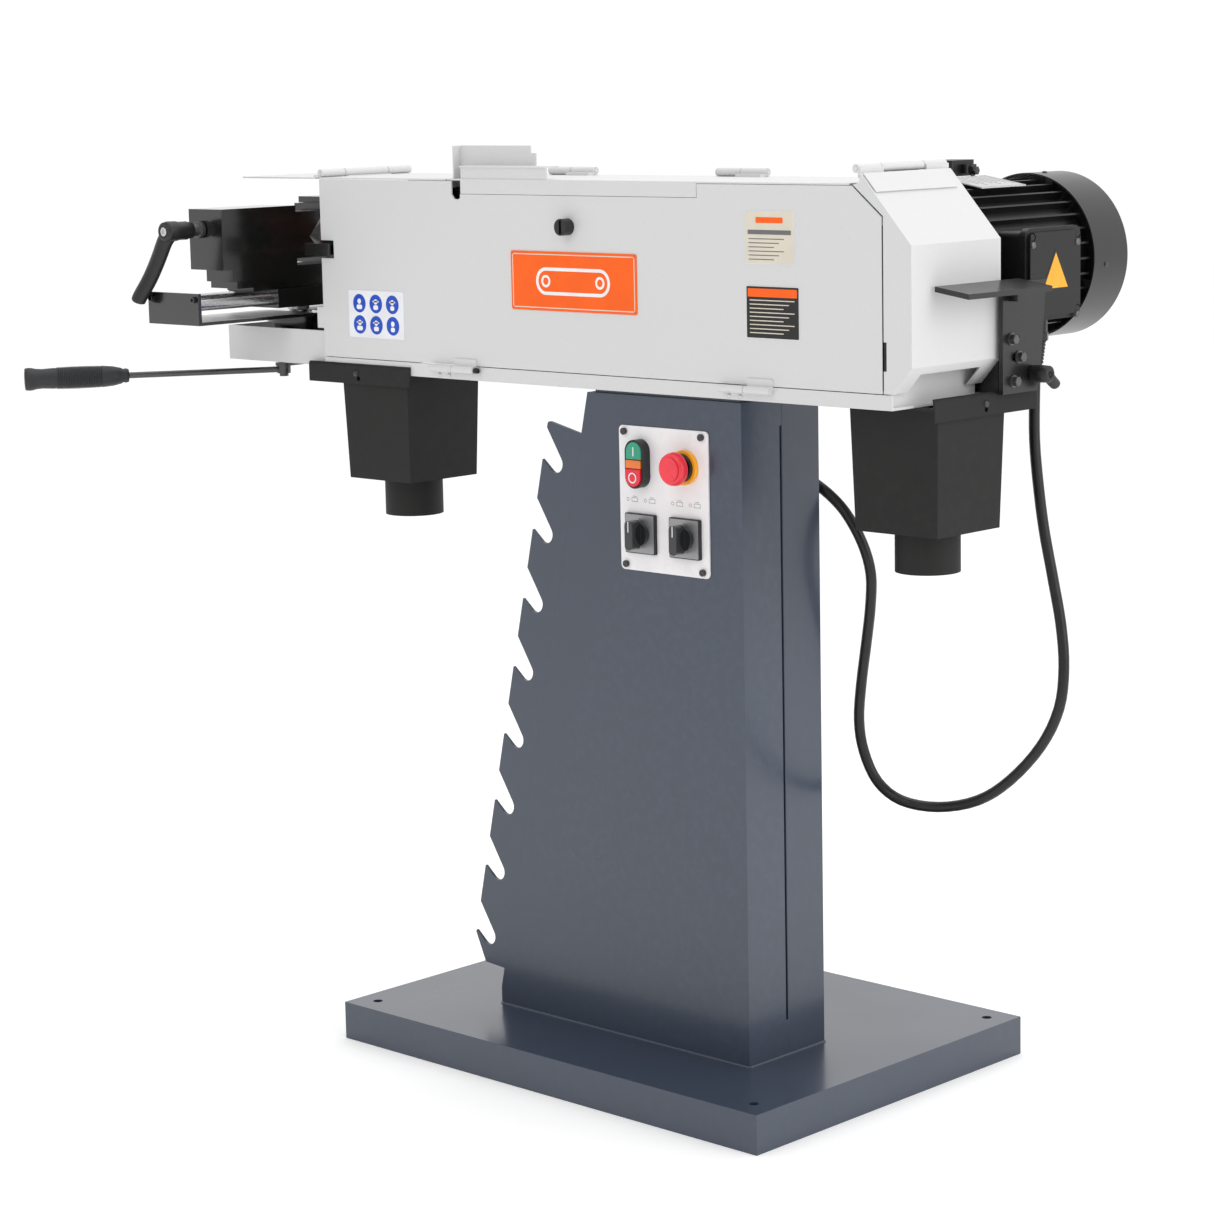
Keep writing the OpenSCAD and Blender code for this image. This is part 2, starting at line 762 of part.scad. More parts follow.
module tension_arm() {
    color(steel) {
        rod_y(contact_x, contact_z, belt_y0 - 6, belt_y1 + 6, 6);
        for (y = [[belt_y0 - 6, belt_y0 - 1], [belt_y1 + 1, belt_y1 + 6]]) {
            box([contact_x + 4, y[0], arm_z0], [-430, y[1], arm_z1]);
            rod_y(contact_x, contact_z, y[0], y[1], 12);
        }
        box([-446, belt_y0 - 3, arm_z0], [-430, belt_y1 + 3, arm_z1]);
        box([-431, belt_y - 9, arm_z0 + 3], [-330, belt_y + 9, arm_z1 - 3]);
        box([-458, -131, 994], [-440, belt_y0 - 1, 1007]);
        box([-476, -131, 994], [-457, -129, 1007]);
        box([-476, -136, 994], [-465, -130, 1007]);
        box([-502, -141, 993], [-456, -135.6, 1008]);
    }
}

module tension_guide() {
    color(black) difference() {
        box([-392, belt_y - 20, arm_z0 - 6], [-356, head_rear, arm_z1 + 2]);
        box([-393, belt_y - 9.1, arm_z0 + 2.9], [-355, belt_y + 9.1, arm_z1 - 2.9]);
    }
}

spring_turns = 5;
spring_step = 30;

// Compression spring round the slide bar, between the arm and its guide.
module tension_spring() {
    span = 33;
    sides = 8;
    rings = [for (a = [0 : spring_step : 360 * spring_turns]) [for (k = [0 : sides - 1])
        let (b = 360 * k / sides, r = 14.5 + 1.3 * cos(b))
        [-428 + span * a / (360 * spring_turns) + 1.3 * sin(b),
            belt_y + r * cos(a), contact_z + r * sin(a)]]];
    color(steel) tube(rings, sides);
}

// Closed tube through rings of points.
module tube(rings, sides) {
    last = len(rings) - 1;
    polyhedron(
        points = [for (r = rings) for (p = r) p],
        faces = concat(
            [[for (k = [0 : sides - 1]) k]],
            [for (i = [0 : last - 1], k = [0 : sides - 1]) let (a = i * sides, n = (k + 1) % sides)
                [a + k, a + sides + k, a + sides + n, a + n]],
            [[for (k = [sides - 1 : -1 : 0]) last * sides + k]]),
        convexity = 8);
}

module idler_roller() {
    color(steel) difference() {
        rod_y(idler_x, idler_z, belt_y0, belt_y1, idler_r);
        rod_y(idler_x, idler_z, belt_y0 - 1, belt_y1 + 1, 6.06);
    }
}

module idler_shaft() {
    color(steel) {
        rod_y(idler_x, idler_z, belt_y0 - 6, guard_rear + 14, 6);
        rod_y(idler_x, idler_z, belt_y0 - 6, belt_y0 - 1, 9);
        rod_y(idler_x, idler_z, belt_y1 + 1, head_rear, 9);
        rod_y(idler_x, idler_z, guard_rear, guard_rear + 10, 10);
    }
}

module platen() {
    top = drum_z + drum_r - 0.2;
    color([0.25, 0.25, 0.27]) {
        box([-250, belt_y0 - 2, top - 9], [212, belt_y1 + 2, top]);
        for (x = [-220, 150]) {
            box([x, belt_y1 - 70, top - 29], [x + 40, head_rear, top - 9 + e]);
            box([x, head_rear - 5, top - 50], [x + 40, head_rear, top - 28]);
        }
    }
}

module belt_circles(grow) {
    hull() {
        translate([drum_x, drum_z]) circle(drum_r + grow, $fn = 128);
        translate([idler_x, idler_z]) circle(idler_r + grow);
        translate([contact_x, contact_z]) circle(contact_r + grow);
    }
}

module abrasive_belt() {
    color([0.45, 0.2, 0.12]) xz(belt_y0, belt_y1) difference() {
        belt_circles(1.3);
        belt_circles(0.3);
    }
}

// ---------- motor ----------

body_r = 93;
core_r = 83;
cowl_y0 = 277;
box_x = [drum_x + core_r + 4, 470];
box_y = [100, 207];
box_z = [926, 1032];

module motor_body() {
    color(black) difference() {
        union() {
            rod_y(drum_x, drum_z, motor_y + 20, cowl_y0 + 6, core_r);
            for (a = [0 : 360 / 32 : 359]) translate([drum_x, 0, drum_z]) rotate([0, a, 0])
                box([core_r - 4, motor_y + 34, -1.25], [body_r, cowl_y0, 1.25]);
        }
        rod_y(drum_x, drum_z, motor_y + 19, 90, 71);
        rod_y(drum_x, drum_z, 89, 245, 51);
        rod_y(drum_x, drum_z, 244, cowl_y0 - 2, 71);
        rod_y(drum_x, drum_z, cowl_y0 - 3, cowl_y0 + 7, 16);
        box([box_x[0] - 2, box_y[0] - 3, box_z[0] - 3], [500, box_y[1] + 3, box_z[1] + 3]);
    }
    color(black) box([drum_x + core_r - 12, box_y[0] + 10, box_z[0] + 16],
        [box_x[0], box_y[1] - 8, box_z[1] - 8]);
}

module motor_flange() {
    color(black) difference() {
        union() {
            rod_y(drum_x, drum_z, motor_y, motor_y + 14, 82);
            rod_y(drum_x, drum_z, motor_y + 14 - e, motor_y + 20, core_r + 4);
            rod_y(drum_x, drum_z, motor_y - 4, motor_y + e, 39.9);
        }
        rod_y(drum_x, drum_z, motor_y - 5, motor_y + 21, 16);
        for (a = [45 : 90 : 315])
            rod_y(drum_x + 70 * cos(a), drum_z + 70 * sin(a), motor_y - 1, motor_y + 13, 4.2);
    }
}

module rotor_shaft() {
    color(steel) {
        rod_y(drum_x, drum_z, belt_y - 30, cowl_y0 + 50, 14);
        rod_y(drum_x, drum_z, 95, 240, 50);
        rod_y(drum_x, drum_z, belt_y - 34, belt_y - 29, 20);
    }
}

module motor_fan() {
    color(black) difference() {
        union() {
            rod_y(drum_x, drum_z, 297, 323, 24);
            rod_y(drum_x, drum_z, 297, 300, 60);
            for (a = [0 : 45 : 315]) translate([drum_x, 0, drum_z]) rotate([0, a, 0])
                box([20, 297, -1.5], [86, 323, 1.5]);
        }
        rod_y(drum_x, drum_z, 296, 324, 14.05);
    }
}

module fan_cowl() {
    color(black) difference() {
        rod_y(drum_x, drum_z, cowl_y0, cowl_y, cowl_r);
        rod_y(drum_x, drum_z, cowl_y0 - 1, cowl_y - 2, cowl_r - 2);
        for (r = [24, 42, 60, 78], a = [0 : 45 : 315]) translate([drum_x, cowl_y + 1, drum_z])
            rotate([90, a + r, 0]) linear_extrude(4) grille_slot(r);
    }
    color(black) for (a = [20 : 90 : 290]) translate([drum_x, 0, drum_z]) rotate([0, a, 0])
        box([core_r + 0.05, cowl_y0 + 0.5, -5], [cowl_r - 1, cowl_y0 + 6, 5]);
}

// Curved slot of the cowl's grille at radius r.
module grille_slot(r) {
    half = 22.5 - 240 / r;
    polygon(concat(
        [for (a = [-half : half / 4 : half + 0.01]) (r + 4) * [cos(a), sin(a)]],
        [for (a = [half : -half / 4 : -half - 0.01]) (r - 4) * [cos(a), sin(a)]]));
}

module terminal_box() {
    color(black) difference() {
        union() {
            yz(box_x[0], box_x[1] - 12)
                round_rect([box_y[0] + 3, box_z[0] + 3], [box_y[1] - 3, box_z[1] - 3], 8);
            yz(box_x[1] - 12 - e, box_x[1] - 4) round_rect([box_y[0], box_z[0]], [box_y[1], box_z[1]], 10);
            yz(box_x[1] - 4 - e, box_x[1])
                round_rect([box_y[0] + 5, box_z[0] + 5], [box_y[1] - 5, box_z[1] - 5], 8);
            rod_up(445, 150, box_z[0] - 16, box_z[0] + 6, 13);
        }
        rod_up(445, 150, box_z[0] - 17, box_z[0] + 20, cable_r + 0.4);
        box([box_x[0] + 4, box_y[0] + 12, box_z[0] + 12], [box_x[1] - 14, box_y[1] - 12, box_z[1] - 12]);
        for (y = [box_y[0] + 10, box_y[1] - 10], z = [box_z[0] + 10, box_z[1] - 10])
            rod_x(y, z, box_x[1] - 3, box_x[1] + 1, 5);
    }
    color(steel) for (y = [box_y[0] + 10, box_y[1] - 10], z = [box_z[0] + 10, box_z[1] - 10])
        rod_x(y, z, box_x[1] - 3, box_x[1] - 0.5, 4);
}

function unit(v) = v / norm(v);
// Catmull-Rom point between b and c at t.
function blend(a, b, c, d, t) = 0.5 * (2 * b + (c - a) * t + (2 * a - 5 * b + 4 * c - d) * t * t
    + (3 * b - a - 3 * c + d) * t * t * t);
function route_point(r, i, t) = blend(r[max(i - 1, 0)], r[i], r[i + 1], r[min(i + 2, len(r) - 1)], t);
function smooth(r, n) = concat([for (i = [0 : len(r) - 2], k = [0 : n - 1]) route_point(r, i, k / n)],
    [r[len(r) - 1]]);

module motor_cable() {
    path = smooth(cable_route, 3);
    last = len(path) - 1;
    side = [0, 1, 0];
    rings = [for (i = [0 : last])
        let (t = unit(path[min(i + 1, last)] - path[max(i - 1, 0)]),
            u = unit(cross(t, side)), v = cross(t, u))
        [for (k = [0 : cable_sides - 1]) let (b = 360 * k / cable_sides)
            path[i] + cable_r * (u * cos(b) + v * sin(b))]];
    color(black) tube(rings, cable_sides);
}

// ---------- notching unit ----------

module feed_carriage() {
    color(black) difference() {
        union() {
            box([-640, -122, feed_z], [-554, -2, feed_z + 8]);
            for (y = [[-100, -92], [-22, -13]])
                box([-640, y[0] - 1.5, feed_z - 5], [-554, y[1] - 1.5, feed_z + e]);
            rod_up(swivel_x, swivel_y, feed_z + 8 - e, 900, 35);
            rod_up(swivel_x, swivel_y, 899, 909, 45);
        }
        rod_up(swivel_x, swivel_y, 875, 910, 8.06);
        box([-607, -34, feed_z - 6], [-593, -9, feed_z + 9]);
    }
}

module swivel_bolt() {
    color(steel) {
        rod_up(swivel_x, swivel_y, 880, 914, 8);
        rod_up(swivel_x, swivel_y, 913, 915, 15);
        translate([swivel_x, swivel_y, 914]) cylinder(r = 12, h = 8, $fn = 6);
    }
}

module slide_frame() {
    color(black) difference() {
        union() {
            box([-648, slide_front, 909], [-546, slide_rear, 913]);
            for (y = [slide_front, slide_rear - 5]) box([-648, y, 909], [-546, y + 5, 950]);
        }
        for (x = [rod_x0, rod_x1]) rod_y(x, rod_z, slide_front + 2, slide_rear + 1, rod_d / 2);
        rod_up(swivel_x, swivel_y, 908, 914, 8.06);
    }
}

module guide_rods() {
    color(steel) for (x = [rod_x0, rod_x1]) rod_y(x, rod_z, slide_front + 2, slide_rear + 0.5, rod_d / 2);
}

jaw_z0 = 976;
jaw_z1 = 1054;
jaw_x0 = -625;
jaw_x1 = -559;
vee_z = contact_z;
vee_y = -52;

// V-groove prism along X, opening toward -Y or +Y.
module vee(side) {
    yz(jaw_x0 - 5, jaw_x1 + 5)
        polygon([[vee_y, vee_z + 26], [vee_y + side * 22, vee_z], [vee_y, vee_z - 26]]);
}

module vise_body() {
    color(black) difference() {
        union() {
            box([-647, -150, 923], [-547, 35, 948]);
            box([-616, -178, 946], [-563, 30, 952]);
            box([-616, -205, 951], [-563, 30, 962]);
            box([-612, -215, 960], [-559, 30, jaw_z0 + e]);
            box([jaw_x0, -230, jaw_z0], [jaw_x1, -105, jaw_z1]);
            box([jaw_x0, vee_y + 2, jaw_z0], [jaw_x1, 30, jaw_z1]);
            box([jaw_x0 - 12, vee_y + 20, jaw_z1 - e], [jaw_x1, 32, jaw_z1 + 8]);
        }
        box([jaw_x0 + 8, -222, jaw_z0 + 8], [jaw_x1 - 8, -104, jaw_z1 - 8]);
        rod_y(screw_x, screw_z, -231, -221, 8.1);
        for (x = [rod_x0, rod_x1]) rod_y(x, rod_z, -151, 36, rod_d / 2 + 0.06);
        vee(1);
    }
}

module vise_ram() {
    color(black) difference() {
        box([jaw_x0 + 8.3, -160, jaw_z0 + 8.3], [jaw_x1 - 8.3, vee_y - 2, jaw_z1 - 8.3]);
        vee(-1);
        rod_y(screw_x, screw_z, -161, -149, 8.1);
    }
}

module vise_screw() {
    color(steel) {
        rod_y(screw_x, screw_z, -248, -150, 8);
        rod_y(screw_x, screw_z, -238, -231, 11);
    }
}

handle_tip = [-650, 942];

module vise_handle() {
    color(black) {
        rod_y(screw_x, screw_z, -292, -248, 12);
        hull() {
            rod_y(screw_x, screw_z, -292, -274, 11, $fn = 32);
            rod_y(screw_x - 20, screw_z - 34, -292, -278, 8, $fn = 32);
        }
        hull() {
            rod_y(screw_x - 20, screw_z - 34, -291, -279, 7, $fn = 32);
            rod_y(handle_tip[0], handle_tip[1], -305, -291, 9, $fn = 32);
        }
    }
    color(steel) rod_y(screw_x, screw_z, -294, -291.9, 6);
}

module feed_lever() {
    p = lever_pivot;
    color(steel) {
        rod_up(p[0], p[1], 828, ext_z + 3.5, 5.9);
        rod_up(p[0], p[1], 832, 845, 9);
        hull() {
            rod_up(p[0], p[1], 842, 846, 11, $fn = 32);
            rod_up(p[0], p[1] + 80, 842, 846, 10, $fn = 32);
        }
        rod_up(p[0], p[1] + 80, 842, feed_z + 6, 4);
        translate(p) rotate([0, 90, atan2(grip_dir[1], grip_dir[0])]) cylinder(r = 4, h = 330);
    }
}

grip_start = 205;
grip_len = 135;

module lever_grip() {
    color(black) translate(lever_pivot) rotate([0, 90, atan2(grip_dir[1], grip_dir[0])])
        translate([0, 0, grip_start]) difference() {
            rotate_extrude() polygon([[0, 0], [9, 0], [10, 8], [13, 20], [14.5, 50], [14.5, 85],
                [12.5, 112], [13.5, 122], [15, 128], [14, grip_len], [0, grip_len]]);
            translate([0, 0, -1]) cylinder(r = 4, h = 127);
        }
}

// ---------- work rest ----------

module rest_mount() {
    p = rest_pivot;
    color(black) difference() {
        union() {
            box([396, guard_rear, 852], [484, guard_rear + 5, 905]);
            box([479, guard_rear, 852], [484, 92, 905]);
            rod_x(p[1], p[2], 484 - e, 518, 5);
            rod_x(p[1], p[2], 484 - e, 492, 9);
        }
        for (x = [410, 436]) rod_y(x, 880, guard_rear - 1, guard_rear + 6, 4);
    }
}

rest_x0 = 492.5;

module work_rest() {
    p = rest_pivot;
    color(black) difference() {
        union() {
            xz(-100, 52) polygon([[rest_x0, 974], [rest_x0, 980], [539, 973], [539, 967]]);
            yz(rest_x0, rest_x0 + 6) polygon([[15, 852], [80, 852], [87, 890], [96, 977], [15, 977]]);
            box([rest_x0, 26, 956], [rest_x0 + 18, 32, 973]);
        }
        rod_x(p[1], p[2], rest_x0 - 1, rest_x0 + 7, 5.08);
        for (s = [[24, 909], [32, 888]])
            yz(rest_x0 - 1, rest_x0 + 7) round_rect([s[0], s[1]], [s[0] + 22, s[1] + 9], 4.4);
    }
}

module clamp_lever() {
    p = rest_pivot;
    color(black) difference() {
        union() {
            rod_x(p[1], p[2], rest_x0 + 6.2, 524, 10);
            hull() {
                rod_x(p[1], p[2], 510, 523, 8, $fn = 32);
                rod_x(p[1] + 19, p[2] - 12, 512, 523, 6, $fn = 32);
            }
        }
        rod_x(p[1], p[2], rest_x0, 518.5, 5.08);
    }
}

base_tray();
column_front();
column_rear();
column_top_plate();
roller_racks();
panel_plate();
button_housing();
start_button();
stop_button();
indicator_lens();
estop_ring();
estop_button();
selector_plates();
direction_knob();
speed_knob();
contactor();
fasteners();
head_tray();
back_plate();
top_cover();
top_flap();
stop_plate();
left_flap();
hinge_pins();
front_door();
door_knob();
end_guard();
hood_left();
hood_right();
badge_plate();
info_plates();
drive_drum();
contact_roller();
tension_arm();
tension_guide();
tension_spring();
idler_roller();
idler_shaft();
platen();
abrasive_belt();
motor_body();
motor_flange();
rotor_shaft();
motor_fan();
fan_cowl();
terminal_box();
motor_cable();
feed_carriage();
swivel_bolt();
slide_frame();
guide_rods();
vise_body();
vise_ram();
vise_screw();
vise_handle();
feed_lever();
lever_grip();
rest_mount();
work_rest();
clamp_lever();
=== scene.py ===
"""Tube-notching belt grinder: materials, fine detail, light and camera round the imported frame."""
import math

import bmesh
import bpy
from mathutils import Matrix, Vector


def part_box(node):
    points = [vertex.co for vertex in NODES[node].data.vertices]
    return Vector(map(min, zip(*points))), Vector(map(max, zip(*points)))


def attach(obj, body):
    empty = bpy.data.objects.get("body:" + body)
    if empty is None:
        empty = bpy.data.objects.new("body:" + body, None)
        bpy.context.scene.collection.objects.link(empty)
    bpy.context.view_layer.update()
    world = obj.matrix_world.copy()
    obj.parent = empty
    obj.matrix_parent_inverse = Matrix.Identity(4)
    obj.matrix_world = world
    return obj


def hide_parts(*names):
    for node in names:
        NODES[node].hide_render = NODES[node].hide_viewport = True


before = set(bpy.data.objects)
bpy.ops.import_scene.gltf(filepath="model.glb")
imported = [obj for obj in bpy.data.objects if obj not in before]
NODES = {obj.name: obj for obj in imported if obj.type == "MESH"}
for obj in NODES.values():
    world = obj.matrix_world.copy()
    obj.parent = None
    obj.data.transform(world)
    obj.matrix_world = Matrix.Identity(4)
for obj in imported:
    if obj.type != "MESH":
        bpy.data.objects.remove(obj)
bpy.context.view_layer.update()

MM = 0.001
FRONT, REAR = Vector((0, -1, 0)), Vector((0, 1, 0))
RIGHT = Vector((1, 0, 0))
UP, DOWN = Vector((0, 0, 1)), Vector((0, 0, -1))

# ---------- camera ----------

CAMERA_AT = Vector((2.645, -2.857, 1.217))
CAMERA_AZIMUTH = 43.95
CAMERA_PITCH = 9.51
CAMERA_ROLL = -1.2
CAMERA_LENS = 94.6
CAMERA_SENSOR = 36


def place_camera():
    """The view: azimuth turns from -Y towards +X, pitch looks down, roll tilts about the view axis."""
    azimuth = math.radians(CAMERA_AZIMUTH)
    pitch = math.radians(CAMERA_PITCH)
    roll = math.radians(CAMERA_ROLL)
    reach = math.cos(pitch)
    forward = Vector((-math.sin(azimuth) * reach, math.cos(azimuth) * reach, -math.sin(pitch)))
    level = Vector((math.cos(azimuth), math.sin(azimuth), 0))
    up = level.cross(forward)
    right = level * math.cos(roll) + up * math.sin(roll)
    top = up * math.cos(roll) - level * math.sin(roll)
    turn = Matrix((right, top, -forward)).transposed().to_4x4()
    data = bpy.data.cameras.new("camera")
    data.lens = CAMERA_LENS
    data.sensor_width = CAMERA_SENSOR
    camera = bpy.data.objects.new("camera", data)
    camera.matrix_world = Matrix.Translation(CAMERA_AT) @ turn
    bpy.context.scene.collection.objects.link(camera)
    bpy.context.scene.camera = camera


# ---------- node materials ----------


class Shader:
    """A material being built: a principled shader with a few node helpers."""

    def __init__(self, name):
        self.material = bpy.data.materials.new(name)
        self.material.use_nodes = True
        self.tree = self.material.node_tree
        self.shader = self.tree.nodes["Principled BSDF"]
        self.place = self.add("ShaderNodeTexCoord").outputs["Object"]

    def add(self, kind, **values):
        node = self.tree.nodes.new(kind)
        for key, value in values.items():
            setattr(node, key, value)
        return node

    def link(self, output, socket):
        self.tree.links.new(output, socket)

    def set(self, **values):
        for key, value in values.items():
            self.shader.inputs[key.replace("_", " ")].default_value = value

    def stretched(self, scale):
        """The object's coordinates, scaled on each axis."""
        mapping = self.add("ShaderNodeMapping")
        mapping.inputs["Scale"].default_value = scale
        self.link(self.place, mapping.inputs["Vector"])
        return mapping.outputs["Vector"]

    def noise(self, scale, detail=3.0, stretch=None, roughness=0.5):
        node = self.add("ShaderNodeTexNoise")
        node.inputs["Scale"].default_value = scale
        node.inputs["Detail"].default_value = detail
        node.inputs["Roughness"].default_value = roughness
        self.link(self.stretched(stretch) if stretch else self.place, node.inputs["Vector"])
        return node.outputs["Fac"]

    def remap(self, value, low, high, to_low, to_high):
        node = self.add("ShaderNodeMapRange")
        for key, number in (("From Min", low), ("From Max", high), ("To Min", to_low), ("To Max", to_high)):
            node.inputs[key].default_value = number
        self.link(value, node.inputs["Value"])
        return node.outputs["Result"]

    def mix(self, factor, first, second):
        """A colour mix; first and second are colours or sockets."""
        node = self.add("ShaderNodeMix", data_type="RGBA")
        self.link(factor, node.inputs["Factor"])
        for key, value in ((6, first), (7, second)):
            if isinstance(value, tuple):
                node.inputs[key].default_value = (*value, 1)
            else:
                self.link(value, node.inputs[key])
        return node.outputs[2]

    def edges(self):
        """A mask that is 1 on raised edges and 0 elsewhere."""
        sharp = self.add("ShaderNodeNewGeometry").outputs["Pointiness"]
        return self.remap(sharp, 0.53, 0.62, 0, 1)

    def worn_edges(self, scale, low, high, amount):
        """A mask of patches on raised edges, up to amount."""
        node = self.add("ShaderNodeMath", operation="MULTIPLY")
        self.link(self.edges(), node.inputs[0])
        self.link(self.remap(self.noise(scale, 4), low, high, 0, amount), node.inputs[1])
        return node.outputs[0]

    def bump(self, heights):
        """Bumps from a list of (value, distance in metres, strength), fed one into the next."""
        normal = None
        for value, distance, strength in heights:
            node = self.add("ShaderNodeBump")
            node.inputs["Distance"].default_value = distance
            node.inputs["Strength"].default_value = strength
            self.link(value, node.inputs["Height"])
            if normal is not None:
                self.link(normal, node.inputs["Normal"])
            normal = node.outputs["Normal"]
        self.link(normal, self.shader.inputs["Normal"])

    def colour(self, socket):
        self.link(socket, self.shader.inputs["Base Color"])

    def rough(self, socket):
        self.link(socket, self.shader.inputs["Roughness"])


BARE_METAL = (0.22, 0.22, 0.23)
GRAIN_DARK, GRAIN_LIGHT = (0.16, 0.05, 0.03), (0.34, 0.13, 0.08)
GRAIN_WORN = (0.14, 0.09, 0.08)


def shade(colour, amount):
    """The colour, lighter or darker by a factor."""
    return tuple(min(1.0, c * amount) for c in colour)


def paint(name, colour, rough, peel, dirt, chip=0.0, coat=0.0, shine=0.5):
    """Sprayed paint: slight tone variation, orange peel, dusty roughness and worn edges."""
    made = Shader(name)
    clouds = made.remap(made.noise(2.2, 2), 0.35, 0.65, 0, 1)
    specks = made.remap(made.noise(260, 2), 0.66, 0.74, 0, 0.35)
    tone = made.mix(clouds, shade(colour, 1 - dirt), shade(colour, 1 + dirt * 0.5))
    tone = made.mix(specks, tone, shade(colour, 0.8))
    if chip:
        tone = made.mix(made.worn_edges(90, 0.45, 0.65, chip), tone, shade(colour, 2.0))
    made.colour(tone)
    made.rough(made.remap(made.noise(5, 3), 0.3, 0.7, rough - 0.03, rough + 0.04))
    made.set(Coat_Weight=coat, Coat_Roughness=0.15, Specular_IOR_Level=shine)
    made.bump([(made.noise(420, 2), 0.0002, peel)])
    return made.material


def plastic(name, colour, rough, grain=0.25, scale=1500, clear=0.0):
    """Moulded plastic: a fine spark-eroded grain, a little uneven in tone and shine."""
    made = Shader(name)
    tone = made.mix(made.remap(made.noise(40, 4), 0.3, 0.7, 0, 1), shade(colour, 0.9), shade(colour, 1.08))
    made.colour(tone)
    made.rough(made.remap(made.noise(60, 4), 0.3, 0.7, rough - 0.06, rough + 0.08))
    made.set(Specular_IOR_Level=0.5, Coat_Weight=clear, Coat_Roughness=0.08)
    made.bump([(made.noise(scale, 2), 0.00015, grain)])
    return made.material


def steel(name, colour, rough, along=(1, 1, 30), lines=0.25, stain=0.1):
    """Machined steel: fine tool lines across one axis, with faint stains."""
    made = Shader(name)
    line = made.noise(160, 3, stretch=along)
    cloud = made.noise(25, 5)
    tone = made.mix(made.remap(line, 0.3, 0.7, 0, 1), shade(colour, 0.86), shade(colour, 1.1))
    tone = made.mix(made.remap(cloud, 0.55, 0.75, 0, stain * 4), tone, shade(colour, 0.6))
    made.colour(tone)
    made.rough(made.remap(line, 0.3, 0.7, rough - 0.06, rough + 0.12))
    made.set(Metallic=1.0)
    made.bump([(line, 0.0001, lines), (made.noise(900, 2), 0.00005, 0.2)])
    return made.material


def dark_metal(name, colour, rough):
    """Blackened metal: a fine pebbled skin, with edges rubbed towards bare metal."""
    made = Shader(name)
    tone = made.mix(made.remap(made.noise(9, 4), 0.3, 0.7, 0, 1), shade(colour, 0.8), shade(colour, 1.25))
    made.colour(made.mix(made.worn_edges(70, 0.4, 0.7, 0.35), tone, BARE_METAL))
    made.rough(made.remap(made.noise(30, 4), 0.3, 0.7, rough - 0.08, rough + 0.1))
    made.set(Metallic=0.25, Specular_IOR_Level=0.5)
    made.bump([(made.noise(650, 3), 0.0002, 0.22), (made.noise(60, 2), 0.0006, 0.06)])
    return made.material


def rubber(name, colour, rough):
    """Smooth rubber with a dusty bloom and a faint grain."""
    made = Shader(name)
    bloom = made.remap(made.noise(35, 5), 0.45, 0.75, 0, 0.5)
    made.colour(made.mix(bloom, colour, shade(colour, 1.9)))
    made.rough(made.remap(made.noise(50, 3), 0.3, 0.7, rough - 0.1, rough + 0.12))
    made.set(Specular_IOR_Level=0.4)
    made.bump([(made.noise(1200, 2), 0.0001, 0.3)])
    return made.material


def abrasive(name):
    """Coated abrasive: packed grains of red-brown aluminium oxide."""
    made = Shader(name)
    grain = made.add("ShaderNodeTexVoronoi")
    grain.inputs["Scale"].default_value = 1400
    made.link(made.place, grain.inputs["Vector"])
    tone = made.mix(made.remap(made.noise(900, 3), 0.3, 0.7, 0, 1), GRAIN_DARK, GRAIN_LIGHT)
    worn = made.remap(made.noise(12, 4, stretch=(0.2, 1, 0.2)), 0.5, 0.75, 0, 0.45)
    made.colour(made.mix(worn, tone, GRAIN_WORN))
    made.set(Roughness=0.85, Specular_IOR_Level=0.3)
    made.bump([(grain.outputs["Distance"], 0.0004, 0.7)])
    return made.material


def printed(name, colour, rough):
    """A printed or enamelled plate: smooth, slightly mottled, with a clear film."""
    made = Shader(name)
    mottle = made.remap(made.noise(30, 4), 0.35, 0.65, 0, 1)
    made.colour(made.mix(mottle, shade(colour, 0.96), shade(colour, 1.03)))
    made.rough(made.remap(made.noise(45, 3), 0.3, 0.7, rough - 0.04, rough + 0.06))
    made.set(Coat_Weight=0.1, Coat_Roughness=0.2, Specular_IOR_Level=0.25)
    made.bump([(made.noise(700, 2), 0.00005, 0.15)])
    return made.material


PAINTS = {
    "stand": dict(colour=(0.031, 0.044, 0.073), rough=0.3, peel=0.03, dirt=0.05, chip=0.2, coat=0.45),
    "white": dict(colour=(0.66, 0.665, 0.66), rough=0.42, peel=0.04, dirt=0.02),
    "hood": dict(colour=(0.012, 0.012, 0.0115), rough=0.62, peel=0.16, dirt=0.18, chip=0.5, shine=0.32),
    "rest": dict(colour=(0.009, 0.0088, 0.0085), rough=0.3, peel=0.1, dirt=0.15, chip=0.5, coat=0.2),
    "motor": dict(colour=(0.0055, 0.0055, 0.006), rough=0.34, peel=0.12, dirt=0.15, chip=0.4, shine=0.42),
    "cowl": dict(colour=(0.015, 0.015, 0.016), rough=0.34, peel=0.1, dirt=0.1, chip=0.3, coat=0.2),
    "casting": dict(colour=(0.0065, 0.0062, 0.006), rough=0.2, peel=0.05, dirt=0.12, chip=0.6, coat=0.8),
}
